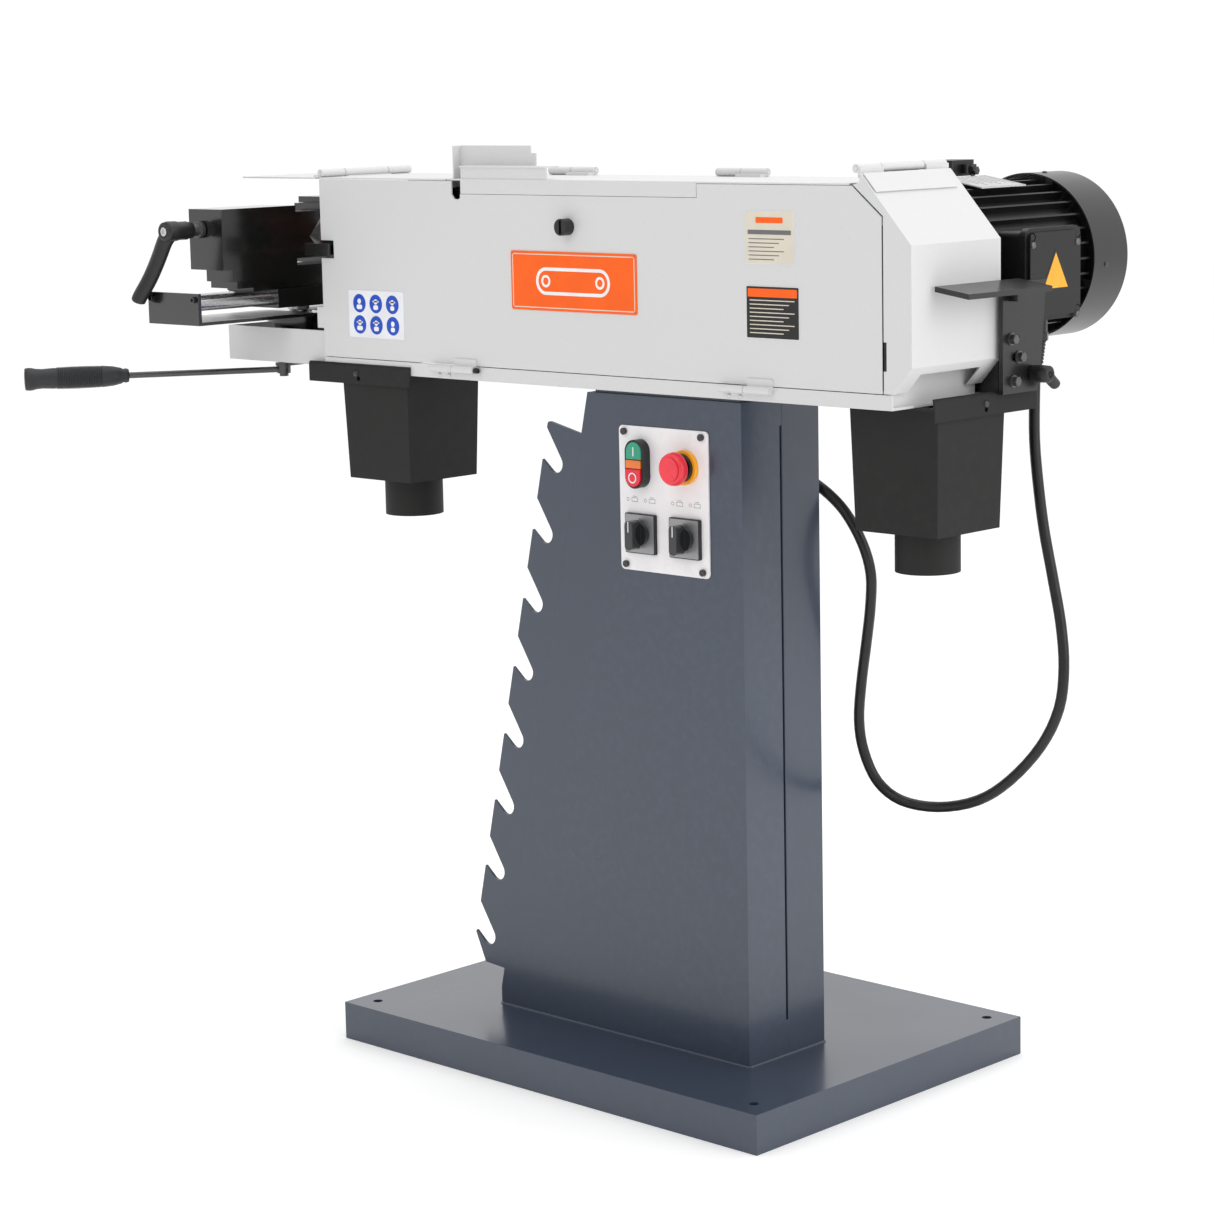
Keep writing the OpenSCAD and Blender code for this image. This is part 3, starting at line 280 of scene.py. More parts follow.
PLASTICS = {
    "plastic": dict(colour=(0.010, 0.010, 0.011), rough=0.4),
    "knob": dict(colour=(0.010, 0.011, 0.013), rough=0.2, grain=0.08, clear=0.5),
    "grip": dict(colour=(0.016, 0.017, 0.019), rough=0.5, grain=0.35, scale=1100),
    "green": dict(colour=(0.012, 0.32, 0.19), rough=0.28, grain=0.06, clear=0.3),
    "red": dict(colour=(0.74, 0.006, 0.028), rough=0.28, grain=0.06, clear=0.3),
    "estop": dict(colour=(0.86, 0.026, 0.05), rough=0.3, grain=0.06, clear=0.25),
    "lens": dict(colour=(0.80, 0.17, 0.005), rough=0.2, grain=0.04, clear=0.6),
    "yellow": dict(colour=(0.93, 0.40, 0.006), rough=0.34, grain=0.08, clear=0.2),
    "beige": dict(colour=(0.52, 0.50, 0.45), rough=0.5),
    "black_screw": dict(colour=(0.010, 0.010, 0.010), rough=0.2, grain=0.1, clear=0.4),
}
STEELS = {
    "steel": dict(colour=(0.60, 0.60, 0.61), rough=0.26),
    "steel_y": dict(colour=(0.62, 0.62, 0.63), rough=0.22, along=(30, 1, 30)),
    "alloy": dict(colour=(0.66, 0.66, 0.67), rough=0.34, along=(1, 1, 25), lines=0.12, stain=0.03),
    "lever": dict(colour=(0.11, 0.11, 0.115), rough=0.38, along=(1, 1, 20), stain=0.2),
    "zinc": dict(colour=(0.66, 0.66, 0.65), rough=0.36, along=(4, 4, 4), lines=0.1),
    "dial": dict(colour=(0.36, 0.36, 0.37), rough=0.42, along=(1, 1, 25), lines=0.12, stain=0.03),
    "dull_screw": dict(colour=(0.16, 0.16, 0.165), rough=0.42, along=(4, 4, 4), lines=0.1),
}
DARK_METALS = {"platen": dict(colour=(0.06, 0.06, 0.065), rough=0.4)}
RUBBERS = {
    "rubber": dict(colour=(0.012, 0.012, 0.012), rough=0.55),
    "cable": dict(colour=(0.011, 0.011, 0.012), rough=0.36),
}
PRINTS = {
    "panel": dict(colour=(0.86, 0.84, 0.85), rough=0.3),
    "orange": dict(colour=(0.98, 0.125, 0.003), rough=0.4),
    "label_white": dict(colour=(0.83, 0.84, 0.88), rough=0.3),
    "label_cream": dict(colour=(0.72, 0.66, 0.55), rough=0.3),
    "label_black": dict(colour=(0.022, 0.022, 0.022), rough=0.4),
    "label_blue": dict(colour=(0.014, 0.075, 0.52), rough=0.3),
    "ink": dict(colour=(0.16, 0.16, 0.17), rough=0.45),
    "mark_white": dict(colour=(0.88, 0.88, 0.88), rough=0.4),
}


def make_materials():
    """Every finish on the machine, by name."""
    finishes = {"abrasive": abrasive("abrasive")}
    for maker, looks in (
        (paint, PAINTS), (plastic, PLASTICS), (steel, STEELS), (dark_metal, DARK_METALS), (rubber, RUBBERS),
        (printed, PRINTS),
    ):
        finishes.update({name: maker(name, **look) for name, look in looks.items()})
    return finishes


NODE_FINISH = {
    "stand": ("base_tray", "column_front", "column_rear", "column_top_plate", "roller_racks"),
    "white": (
        "head_tray", "back_plate", "top_cover", "top_flap", "stop_plate", "left_flap", "hinge_pins",
        "front_door", "end_guard",
    ),
    "hood": ("hood_left", "hood_right"),
    "rest": ("rest_mount", "work_rest"),
    "panel": ("panel_plate",),
    "motor": ("motor_body", "motor_flange", "terminal_box"),
    "cowl": ("fan_cowl",),
    "casting": ("feed_carriage", "slide_frame", "vise_body", "vise_ram", "tension_guide", "tension_arm"),
    "platen": ("platen",),
    "plastic": ("button_housing", "selector_plates", "door_knob", "motor_fan"),
    "knob": ("direction_knob", "speed_knob"),
    "green": ("start_button",),
    "red": ("stop_button",),
    "estop": ("estop_button",),
    "lens": ("indicator_lens",),
    "yellow": ("estop_ring",),
    "beige": ("contactor",),
    "steel": ("drive_drum", "swivel_bolt", "tension_spring"),
    "steel_y": ("idler_roller", "idler_shaft", "rotor_shaft", "guide_rods"),
    "dull_screw": ("vise_screw",),
    "black_screw": ("fasteners",),
    "rubber": ("contact_roller",),
    "abrasive": ("abrasive_belt",),
    "orange": ("badge_plate",),
    "label_white": ("info_plates",),
    "lever": ("feed_lever",),
}

# Edge radii in millimetres; 0 leaves a node's edges as they are.
EDGE_RADIUS = {
    "base_tray": 3.0, "column_front": 2.5, "column_rear": 2.5, "hood_left": 1.2, "hood_right": 1.2,
    "end_guard": 0.9, "front_door": 0.5, "badge_plate": 0.3, "info_plates": 0.1, "roller_racks": 0.5,
    "vise_body": 5.0, "vise_ram": 1.2, "work_rest": 0.8, "slide_frame": 2.2, "feed_carriage": 1.0,
    "motor_body": 0.4, "fan_cowl": 1.0, "terminal_box": 1.2, "panel_plate": 0.5, "button_housing": 1.4,
    "start_button": 1.0, "stop_button": 1.0, "indicator_lens": 0.8, "estop_ring": 1.0,
    "selector_plates": 0.8, "direction_knob": 1.2, "speed_knob": 1.2, "tension_arm": 1.5,
    "tension_spring": 0, "abrasive_belt": 0,
}
DEFAULT_EDGE = 0.6
BEVEL_STEPS = 2
SHARP_ANGLE = 35
FLAT_ANGLE = 0.5


def soften(obj, radius):
    """Rounds the sharp edges of a CAD node with modifiers, and shades it smooth."""
    obj.data.polygons.foreach_set("use_smooth", [True] * len(obj.data.polygons))
    weld = obj.modifiers.new("weld", "WELD")
    weld.merge_threshold = 1e-5
    merge = obj.modifiers.new("merge_flat_faces", "DECIMATE")
    merge.decimate_type = "DISSOLVE"
    merge.angle_limit = math.radians(FLAT_ANGLE)
    bevel = obj.modifiers.new("round_edges", "BEVEL")
    bevel.width = radius * MM
    bevel.segments = BEVEL_STEPS
    bevel.limit_method = "ANGLE"
    bevel.angle_limit = math.radians(SHARP_ANGLE)
    bevel.use_clamp_overlap = True
    flat = obj.modifiers.new("flat_faces", "WEIGHTED_NORMAL")
    flat.mode = "FACE_AREA"
    flat.weight = 100


def finish_nodes(finishes):
    """Gives every CAD node its material and its edges."""
    for finish, names in NODE_FINISH.items():
        for name in names:
            obj = NODES[name]
            obj.data.materials.clear()
            obj.data.materials.append(finishes[finish])
            radius = EDGE_RADIUS.get(name, DEFAULT_EDGE)
            if radius:
                soften(obj, radius)


# ---------- piece makers ----------


# Thickness of printed lines, of coloured films and of raised marks and plates.
INK_THICK = 0.0001
FILM_THICK = 0.0002
MARK_THICK = 0.0003


def add_piece(name, work, material, body, smooth=False):
    """Turns a bmesh into a piece that rides on a CAD body."""
    bmesh.ops.recalc_face_normals(work, faces=work.faces)
    mesh = bpy.data.meshes.new(name)
    work.to_mesh(mesh)
    work.free()
    mesh.materials.append(material)
    if smooth:
        mesh.polygons.foreach_set("use_smooth", [True] * len(mesh.polygons))
    obj = bpy.data.objects.new(name, mesh)
    bpy.context.scene.collection.objects.link(obj)
    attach(obj, body)
    return obj


def facing(at, normal, up=UP):
    """A matrix whose Z is normal and whose Y is as near to up as it can be."""
    z = normal.normalized()
    x = up.cross(z)
    x = x.normalized() if x.length > 1e-6 else Vector((1, 0, 0))
    y = z.cross(x)
    return Matrix.Translation(at) @ Matrix((x, y, z)).transposed().to_4x4()


def shifted(place, x, y, z):
    """The placing matrix moved along its own axes."""
    return place @ Matrix.Translation((x, y, z))


def front_middle(name):
    """Middle of a node's front face."""
    low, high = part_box(name)
    return Vector(((low.x + high.x) / 2, low.y, (low.z + high.z) / 2))


def lathe(profile, place, steps=40):
    """A bmesh of a closed profile of (radius, height) points turned about place's Z."""
    work = bmesh.new()
    rings = []
    for radius, height in profile:
        if radius < 1e-7:
            rings.append([work.verts.new(place @ Vector((0, 0, height)))] * steps)
            continue
        turned = circle(radius, steps=steps)
        rings.append([work.verts.new(place @ Vector((x, y, height))) for x, y in turned])
    for low, high in zip(rings, rings[1:]):
        for k in range(steps):
            n = (k + 1) % steps
            corners = []
            for v in (low[k], low[n], high[n], high[k]):
                if v not in corners:
                    corners.append(v)
            if len(corners) > 2:
                work.faces.new(corners)
    return work


def loft(path, sections, sides=20):
    """A bmesh tube: at each path point an ellipse (across, over), closed at both ends."""
    work = bmesh.new()
    rings = []
    for i, at in enumerate(path):
        ahead = (path[min(i + 1, len(path) - 1)] - path[max(i - 1, 0)]).normalized()
        side = ahead.cross(Vector((0, 1, 0)))
        side = side.normalized() if side.length > 1e-4 else Vector((1, 0, 0))
        over = ahead.cross(side)
        across, high = sections[i]
        rings.append([
            work.verts.new(at + side * across * math.cos(2 * math.pi * k / sides)
                           + over * high * math.sin(2 * math.pi * k / sides))
            for k in range(sides)
        ])
    for low, high in zip(rings, rings[1:]):
        for k in range(sides):
            n = (k + 1) % sides
            work.faces.new((low[k], low[n], high[n], high[k]))
    work.faces.new(rings[0][::-1])
    work.faces.new(rings[-1])
    return work


def slab(outline, thick, place):
    """A bmesh plate: a 2-D outline in place's XY, thick along its Z."""
    work = bmesh.new()
    low = [work.verts.new(place @ Vector((x, y, 0))) for x, y in outline]
    high = [work.verts.new(place @ Vector((x, y, thick))) for x, y in outline]
    work.faces.new(low[::-1])
    work.faces.new(high)
    for k in range(len(outline)):
        n = (k + 1) % len(outline)
        work.faces.new((low[k], low[n], high[n], high[k]))
    return work


def rounded(width, height, radius, steps=6):
    """Outline of a rounded rectangle about the origin."""
    points = []
    for turn, (sx, sy) in enumerate(((1, 1), (-1, 1), (-1, -1), (1, -1))):
        for k in range(steps + 1):
            a = math.radians(90 * turn + 90 * k / steps)
            x = sx * (width / 2 - radius) + radius * math.cos(a)
            y = sy * (height / 2 - radius) + radius * math.sin(a)
            points.append((x, y))
    return points


def circle(radius, at=(0, 0), steps=28):
    """Outline of a circle, or of a regular polygon if it has few steps."""
    turns = [2 * math.pi * k / steps for k in range(steps)]
    return [(at[0] + radius * math.cos(a), at[1] + radius * math.sin(a)) for a in turns]


def joined(*works):
    """Several bmeshes as one."""
    whole = bmesh.new()
    for work in works:
        part = bpy.data.meshes.new("part")
        work.to_mesh(part)
        work.free()
        whole.from_mesh(part)
        bpy.data.meshes.remove(part)
    return whole


def frame_line(width, height, line, thick, place):
    """A thin rectangular outline as four strips."""
    strips = []
    for sy in (1, -1):
        at = shifted(place, 0, sy * (height - line) / 2, 0)
        strips.append(slab(rounded(width, line, line * 0.2), thick, at))
    for sx in (1, -1):
        at = shifted(place, sx * (width - line) / 2, 0, 0)
        strips.append(slab(rounded(line, height, line * 0.2), thick, at))
    return joined(*strips)


def ring(radius, line, thick, place, steps=40):
    """A flat ring."""
    inner = radius - line
    return lathe([(inner, 0), (radius, 0), (radius, thick), (inner, thick), (inner, 0)], place, steps)


def socket_screw(name, at, normal, radius, high, body, material):
    """A socket-head screw: chamfered rim and a round recess."""
    place = facing(at, normal, up=Vector((0.3, 0.2, 1)))
    recess = radius * 0.5
    profile = [(0, 0), (radius, 0), (radius, high * 0.85), (radius * 0.88, high), (recess, high),
               (recess, high * 0.45), (0, high * 0.45)]
    return add_piece(name, lathe(profile, place, 24), material, body)


def button_screw(name, at, normal, radius, body, material):
    """A low domed screw with a round recess."""
    place = facing(at, normal, up=Vector((0.2, 0.3, 1)))
    turns = [math.radians(a) for a in range(0, 76, 15)]
    dome = [(radius * math.cos(a), radius * 0.55 * math.sin(a)) for a in turns]
    sunk = 0.0002
    profile = [(0, -sunk), (radius, -sunk), *dome, (radius * 0.25, radius * 0.53), (0, radius * 0.4)]
    return add_piece(name, lathe(profile, place, 28), material, body, smooth=True)


def hex_bolt(name, at, normal, across, body, material):
    """A hexagon bolt head on a washer."""
    place = facing(at, normal)
    washer = 0.0015
    high = across * 0.6
    disc = lathe([(0, 0), (across * 0.72, 0), (across * 0.72, washer), (0, washer)], place, 32)
    head = slab(circle(across / 2 / math.cos(math.pi / 6), steps=6), high, shifted(place, 0, 0, washer))
    cap = lathe([(0, 0), (across * 0.46, 0), (across * 0.42, high * 0.08), (0, high * 0.08)],
                shifted(place, 0, 0, washer + high), 24)
    return add_piece(name, joined(disc, head, cap), material, body)


# ---------- cable ----------

# Millimetres; the route runs from the gland under the terminal box to the column's rear.
CABLE_RADIUS = 6.5
CABLE_ROUTE = [
    (445, 150, 925), (445, 150, 890), (446, 146, 840), (449, 142, 786), (455, 141, 735),
    (464, 140, 683), (478, 138, 628), (492, 135, 574), (500, 130, 525), (497, 125, 477),
    (475, 120, 430), (436, 112, 385), (394, 105, 356), (342, 96, 342), (294, 86, 345),
    (262, 80, 365), (245, 75, 401), (242, 70, 440), (250, 65, 486), (262, 60, 536),
    (273, 55, 584), (278, 50, 625), (270, 44, 662), (250, 37, 698), (224, 31, 722),
    (196, 26, 737), (186, 17, 741), (185, 6, 742),
]


def spline_point(points, i, t):
    """Catmull-Rom point between points i and i + 1."""
    a, b = points[max(i - 1, 0)], points[i]
    c, d = points[i + 1], points[min(i + 2, len(points) - 1)]
    square = 2 * a - 5 * b + 4 * c - d
    cube = 3 * b - a - 3 * c + d
    return 0.5 * (2 * b + (c - a) * t + square * t * t + cube * t * t * t)


def smooth_path(points, steps):
    """A smooth line through the points, with a number of steps between each two."""
    path = [spline_point(points, i, k / steps) for i in range(len(points) - 1) for k in range(steps)]
    return path + [points[-1]]


def add_cable(finishes):
    """The motor cable: one loop from the terminal box to the column, with a sleeve at each end."""
    points = [Vector(p) * MM for p in CABLE_ROUTE]
    path = smooth_path(points, 4)
    curve = bpy.data.curves.new("motor_lead", "CURVE")
    curve.dimensions = "3D"
    curve.bevel_depth = CABLE_RADIUS * MM
    curve.bevel_resolution = 6
    curve.use_fill_caps = True
    spline = curve.splines.new("POLY")
    spline.points.add(len(path) - 1)
    for point, at in zip(spline.points, path):
        point.co = (*at, 1)
    curve.materials.append(finishes["cable"])
    lead = bpy.data.objects.new("motor_lead", curve)
    bpy.context.scene.collection.objects.link(lead)
    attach(lead, "frame")
    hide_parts("motor_cable")
    add_strain_relief(finishes)


def add_strain_relief(finishes):
    """Gland nut and tapered sleeve under the terminal box, and a rubber bush in the column."""
    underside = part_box("terminal_box")[0].z
    down = facing(Vector((0.445, 0.150, underside)), DOWN, up=REAR)
    nut_high = 0.009
    nut = slab(circle(0.0155, steps=6), nut_high, down)
    add_piece("gland_nut", nut, finishes["plastic"], "frame")
    ribs = []
    for k in range(7):
        z = nut_high + 0.004 * k
        r = 0.0115 - 0.0005 * k
        ribs += [(r, z), (r, z + 0.0025), (r - 0.0012, z + 0.003), (r - 0.0012, z + 0.0038)]
    sleeve = lathe([(0.0066, nut_high), *ribs, (0.0067, 0.038), (0.0066, nut_high)], down, 32)
    add_piece("lead_sleeve", sleeve, finishes["rubber"], "frame", smooth=True)
    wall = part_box("column_rear")[1].y
    back = facing(Vector((0.1855, wall, 0.742)), REAR)
    profile = [(0.0072, 0), (0.014, 0), (0.014, 0.002), (0.011, 0.005), (0.0076, 0.006), (0.0072, 0)]
    bush = lathe(profile, back, 32)
    add_piece("column_bush", bush, finishes["rubber"], "frame", smooth=True)


# ---------- control panel ----------


def add_panel_marks(finishes):
    """I and O marks, selector faces, the stop button's collar and crown, and plain symbols."""
    proud = Vector((0, 0.0001, 0))
    bar_at = front_middle("start_button") + proud + Vector((0, 0, -0.001))
    bar = slab(rounded(0.0016, 0.011, 0.0004), MARK_THICK, facing(bar_at, FRONT))
    add_piece("start_mark", bar, finishes["mark_white"], "start_button", smooth=True)
    oval = ring(0.0064, 0.0015, MARK_THICK, facing(front_middle("stop_button") + proud, FRONT))
    add_piece("stop_mark", oval, finishes["mark_white"], "stop_button", smooth=True)
    for name in ("direction_knob", "speed_knob"):
        add_selector_face(name, front_middle(name), finishes)
    cap = front_middle("estop_button")
    collar_at = Vector((cap.x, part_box("estop_ring")[0].y, cap.z))
    profile = [(0.0085, 0), (0.0165, 0), (0.0162, 0.0022), (0.0085, 0.0022), (0.0085, 0)]
    collar = lathe(profile, facing(collar_at, FRONT), 40)
    add_piece("estop_collar", collar, finishes["plastic"], "frame", smooth=True)
    crown = slab(circle(0.0142), 0.0007, facing(cap, FRONT))
    add_piece("estop_crown", crown, finishes["estop"], "estop")
    add_symbols(front_middle("panel_plate"), finishes)


def add_selector_face(name, middle, finishes):
    """Silver face with ticks behind one knob, and the knob's white line."""
    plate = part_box("selector_plates")[0]
    place = facing(Vector((middle.x, plate.y, middle.z)), FRONT)
    face = slab(rounded(0.0455, 0.0455, 0.0015), MARK_THICK, place)
    add_piece(name + "_face", face, finishes["dial"], "frame")
    ticks = []
    reach = 0.0175
    for turn in (-45, 0, 45):
        a = math.radians(90 + turn)
        spot = shifted(place, reach * math.cos(a), reach * math.sin(a), MARK_THICK)
        spot = spot @ Matrix.Rotation(math.radians(turn), 4, "Z")
        ticks.append(slab(rounded(0.0008, 0.0032, 0.0002), INK_THICK, spot))
    add_piece(name + "_ticks", joined(*ticks), finishes["ink"], "frame")
    tip = shifted(facing(middle, FRONT), 0, 0.0105, 0)
    line = slab(rounded(0.0012, 0.013, 0.0004), MARK_THICK, tip)
    add_piece(name + "_line", line, finishes["mark_white"], name, smooth=True)


def add_symbols(middle, finishes):
    """Four small plain symbols between the two rows of controls."""
    works = []
    line = 0.0005
    for x in (-0.050, -0.022, 0.022, 0.050):
        place = facing(middle + Vector((x, 0, -0.0015)), FRONT)
        works.append(ring(0.0022, line, INK_THICK, shifted(place, -0.008, 0, 0), 20))
        works.append(frame_line(0.010, 0.005, line, INK_THICK, shifted(place, 0.003, 0, 0)))
        works.append(slab(rounded(0.006, 0.0006, 0.0002), INK_THICK, shifted(place, 0.003, 0.004, 0)))
    add_piece("panel_symbols", joined(*works), finishes["ink"], "frame")


# ---------- plates on the door ----------


def add_badge(finishes):
    """Plain badge: a pale border and a loop over two pulleys, the sign for a belt."""
    low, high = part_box("badge_plate")
    place = facing(front_middle("badge_plate"), FRONT)
    inset = 0.006
    border = frame_line(high.x - low.x - inset, high.z - low.z - inset, 0.0012, FILM_THICK, place)
    add_piece("badge_border", border, finishes["label_cream"], "door")
    reach = 0.045
    loop = belt_loop(reach, 0.0125, 0.0165, MARK_THICK, place)
    pulleys = [ring(0.0075, 0.003, MARK_THICK, shifted(place, side * reach, 0, 0)) for side in (1, -1)]
    add_piece("badge_mark", joined(loop, *pulleys), finishes["mark_white"], "door")


def belt_loop(reach, inner, outer, thick, place):
    """A flat stadium-shaped ring, its two ends reach away from the middle."""
    steps = 20
    work = bmesh.new()
    rings = []
    for radius, z in ((inner, 0), (outer, 0), (outer, thick), (inner, thick)):
        points = []
        for side, start in ((1, -90), (-1, 90)):
            for k in range(steps + 1):
                a = math.radians(start + 180 * k / steps)
                points.append(Vector((side * reach + radius * math.cos(a), radius * math.sin(a), z)))
        rings.append([work.verts.new(place @ p) for p in points])
    count = len(rings[0])
    for a, b in ((0, 1), (1, 2), (2, 3), (3, 0)):
        for k in range(count):
            n = (k + 1) % count
            work.faces.new((rings[a][k], rings[a][n], rings[b][n], rings[b][k]))
    return work


def add_notice_plates(finishes):
    """The three other plates: six blue discs, a data plate and a dark notice, all without lettering."""
    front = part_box("info_plates")[0].y
    add_disc_plate(Vector((-0.3745, front, 0.920)), finishes)
    add_data_plate(Vector((0.2865, front, 1.0305)), finishes)
    add_dark_notice(Vector((0.290, front, 0.9465)), finishes)


def add_disc_plate(middle, finishes):
    """Two rows of three blue discs, each with a plain white figure."""
    place = facing(middle, FRONT)
    discs, figures = [], []
    for column in (-1, 0, 1):
        for row in (1, -1):
            spot = shifted(place, column * 0.031, row * 0.0135, 0)
            discs.append(slab(circle(0.0118), FILM_THICK, spot))
            raised = shifted(spot, 0, 0, FILM_THICK)
            figures.append(slab(circle(0.0034, (0, 0.0026), 16), INK_THICK, raised))
            shoulders = rounded(0.0105 - 0.0015 * (column + 1), 0.0058, 0.0024, 4)
            figures.append(slab(shoulders, INK_THICK, shifted(raised, 0, -0.0046, 0)))
            if row == column or column == 0:
                band = rounded(0.0115, 0.0018, 0.0008, 4)
                figures.append(slab(band, INK_THICK, shifted(raised, 0, 0.0030, 0)))
    add_piece("notice_discs", joined(*discs), finishes["label_blue"], "door")
    add_piece("notice_figures", joined(*figures), finishes["mark_white"], "door")


def bars(place, width, rows, pitch, top, line, keep=0.85):
    """Strips that stand for rows of print; they begin in line and have three lengths."""
    works = []
    for k in range(rows):
        length = width * (keep - 0.12 * (k % 3))
        strip = rounded(length, line, line * 0.3, 2)
        works.append(slab(strip, INK_THICK, shifted(place, (length - width) / 2, top - k * pitch, 0)))
    return joined(*works)


def add_data_plate(middle, finishes):
    """Cream plate with an orange mark, a dark band and rows of strips."""
    place = facing(middle, FRONT)
    plate = slab(rounded(0.072, 0.058, 0.001), MARK_THICK, place)
    add_piece("data_plate", plate, finishes["label_cream"], "door")
    top = shifted(place, 0, 0, MARK_THICK)
    mark = slab(rounded(0.040, 0.0065, 0.001), FILM_THICK, shifted(top, 0, 0.0195, 0))
    add_piece("data_mark", mark, finishes["orange"], "door")
    band = slab(rounded(0.064, 0.005, 0.0004), FILM_THICK, shifted(top, 0, 0.0060, 0))
    rows = bars(top, 0.062, 6, 0.0046, -0.0015, 0.0011)
    add_piece("data_print", joined(band, rows), finishes["ink"], "door")


def add_dark_notice(middle, finishes):
    """Black plate with an orange band above rows of pale strips."""
    place = facing(middle, FRONT)
    plate = slab(rounded(0.077, 0.058, 0.001), MARK_THICK, place)
    add_piece("notice_plate", plate, finishes["label_black"], "door")
    top = shifted(place, 0, 0, MARK_THICK)
    head = slab(rounded(0.073, 0.0095, 0.001), FILM_THICK, shifted(top, 0, 0.0220, 0))
    add_piece("notice_band", head, finishes["orange"], "door")
    rows = bars(top, 0.068, 9, 0.0046, 0.0135, 0.0011, keep=0.98)
    add_piece("notice_print", rows, finishes["label_cream"], "door")


# ---------- motor ----------


def cowl_size():
    """Centre of the fan cowl's open end, on the motor's axis, and the cowl's radius."""
    low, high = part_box("fan_cowl")
    return Vector(((low.x + high.x) / 2, low.y, (low.z + high.z) / 2)), (high.z - low.z) / 2


def add_motor_detail(finishes):
    """Everything that the motor has beside its CAD nodes."""
    add_rating_plate(finishes)
    add_cowl_screws(finishes)
    add_end_shield(finishes)
    add_box_front(finishes)
    add_lifting_lug(finishes)


def add_rating_plate(finishes):
    """Rating plate on the upper ribs, with strips and a line round them in place of lettering."""
    centre = cowl_size()[0]
    low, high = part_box("motor_body")
    tilt = math.radians(80)
    out = Vector((math.cos(tilt), 0, math.sin(tilt)))
    thick = 0.0012
    along = 0.170
    spot = Vector((centre.x, along, centre.z)) + out * ((high.z - low.z) / 2 + 0.0004)
    place = facing(spot, out, up=REAR)
    plate = slab(rounded(0.062, 0.088, 0.003), thick, place)
    add_piece("rating_plate", plate, finishes["alloy"], "frame")
    top = shifted(place, 0, 0, thick)
    rows = bars(top, 0.054, 9, 0.0088, 0.036, 0.0014)
    border = frame_line(0.058, 0.084, 0.0006, INK_THICK, top)
    add_piece("rating_print", joined(rows, border), finishes["ink"], "frame")


def add_cowl_screws(finishes):
    """Four screws round the fan cowl's rim."""
    centre, reach = cowl_size()
    first, inset = 5, Vector((0, 0.024, 0))
    for k in range(4):
        a = math.radians(first + 90 * k)
        side = Vector((math.cos(a), 0, -math.sin(a)))
        button_screw(f"cowl_screw_{k}", centre + inset + side * reach, side, 0.0035, "frame",
                     finishes["black_screw"])


def add_end_shield(finishes):
    """Ribless end shield between the motor's body and its fan."""
    centre, reach = cowl_size()
    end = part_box("motor_body")[1].y + 0.001
    radius = reach - 0.0035
    bore = 0.012
    work = ring(radius, radius - bore, 0.002, facing(Vector((centre.x, end, centre.z)), REAR))
    add_piece("end_shield", work, finishes["motor"], "frame")


def add_lifting_lug(finishes):
    """Black lug with a bolt, on the back plate's rear beside the end guard."""
    corner = Vector((0.396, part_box("back_plate")[1].y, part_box("top_cover")[0].z))
    place = facing(corner + Vector((0, 0.030, 0.003)), UP, up=REAR)
    lug = slab(rounded(0.034, 0.044, 0.004), 0.018, place)
    ear = slab(rounded(0.014, 0.020, 0.003), 0.010, shifted(place, 0.018, 0.006, 0.003))
    web = slab(rounded(0.020, 0.008, 0.001), 0.062, shifted(place, -0.004, -0.0265, -0.061))
    add_piece("lifting_lug", joined(lug, ear, web), finishes["motor"], "frame")
    hex_bolt("lug_bolt", corner + Vector((0.025, 0.036, 0.009)), RIGHT, 0.009, "frame",
             finishes["black_screw"])


def add_guard_leaf(finishes):
    """Hinge leaf lapped over the end guard's slope."""
    front, rear = -0.1325, 0.012
    top = Vector((0.4187, (front + rear) / 2, 1.1033))
    slope = Vector((0.6727, 0, -0.7400))
    place = facing(top + slope * 0.0145, Vector((-slope.z, 0, slope.x)), up=REAR)
    leaf = slab(rounded(0.027, rear - front, 0.001), 0.0011, place)
    add_piece("guard_leaf", leaf, finishes["white"], "end_guard")


def add_box_front(finishes):
    """Cover screws and a plain yellow triangle with a dark edge on the terminal box."""
    low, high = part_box("terminal_box")
    middle = Vector((high.x, (low.y + high.y) / 2, (low.z + high.z) / 2))
    for k, (y, z) in enumerate(((-1, 1), (1, 1), (1, -1), (-1, -1))):
        at = middle + Vector((0, y * 0.043, z * 0.042))
        button_screw(f"box_screw_{k}", at, RIGHT, 0.0042, "frame", finishes["dull_screw"])
    place = facing(Vector((high.x, middle.y, high.z - 0.056)), RIGHT)
    outline = [(0, 0.031), (-0.027, -0.016), (0.027, -0.016)]
    edge = slab(outline, FILM_THICK, place)
    add_piece("triangle_edge", edge, finishes["label_black"], "frame")
    inner = slab([(x * 0.86, y * 0.86) for x, y in outline], FILM_THICK, shifted(place, 0, 0, FILM_THICK))
    add_piece("triangle_face", inner, finishes["yellow"], "frame")


# ---------- handles ----------

GRIP_RIBS = 26


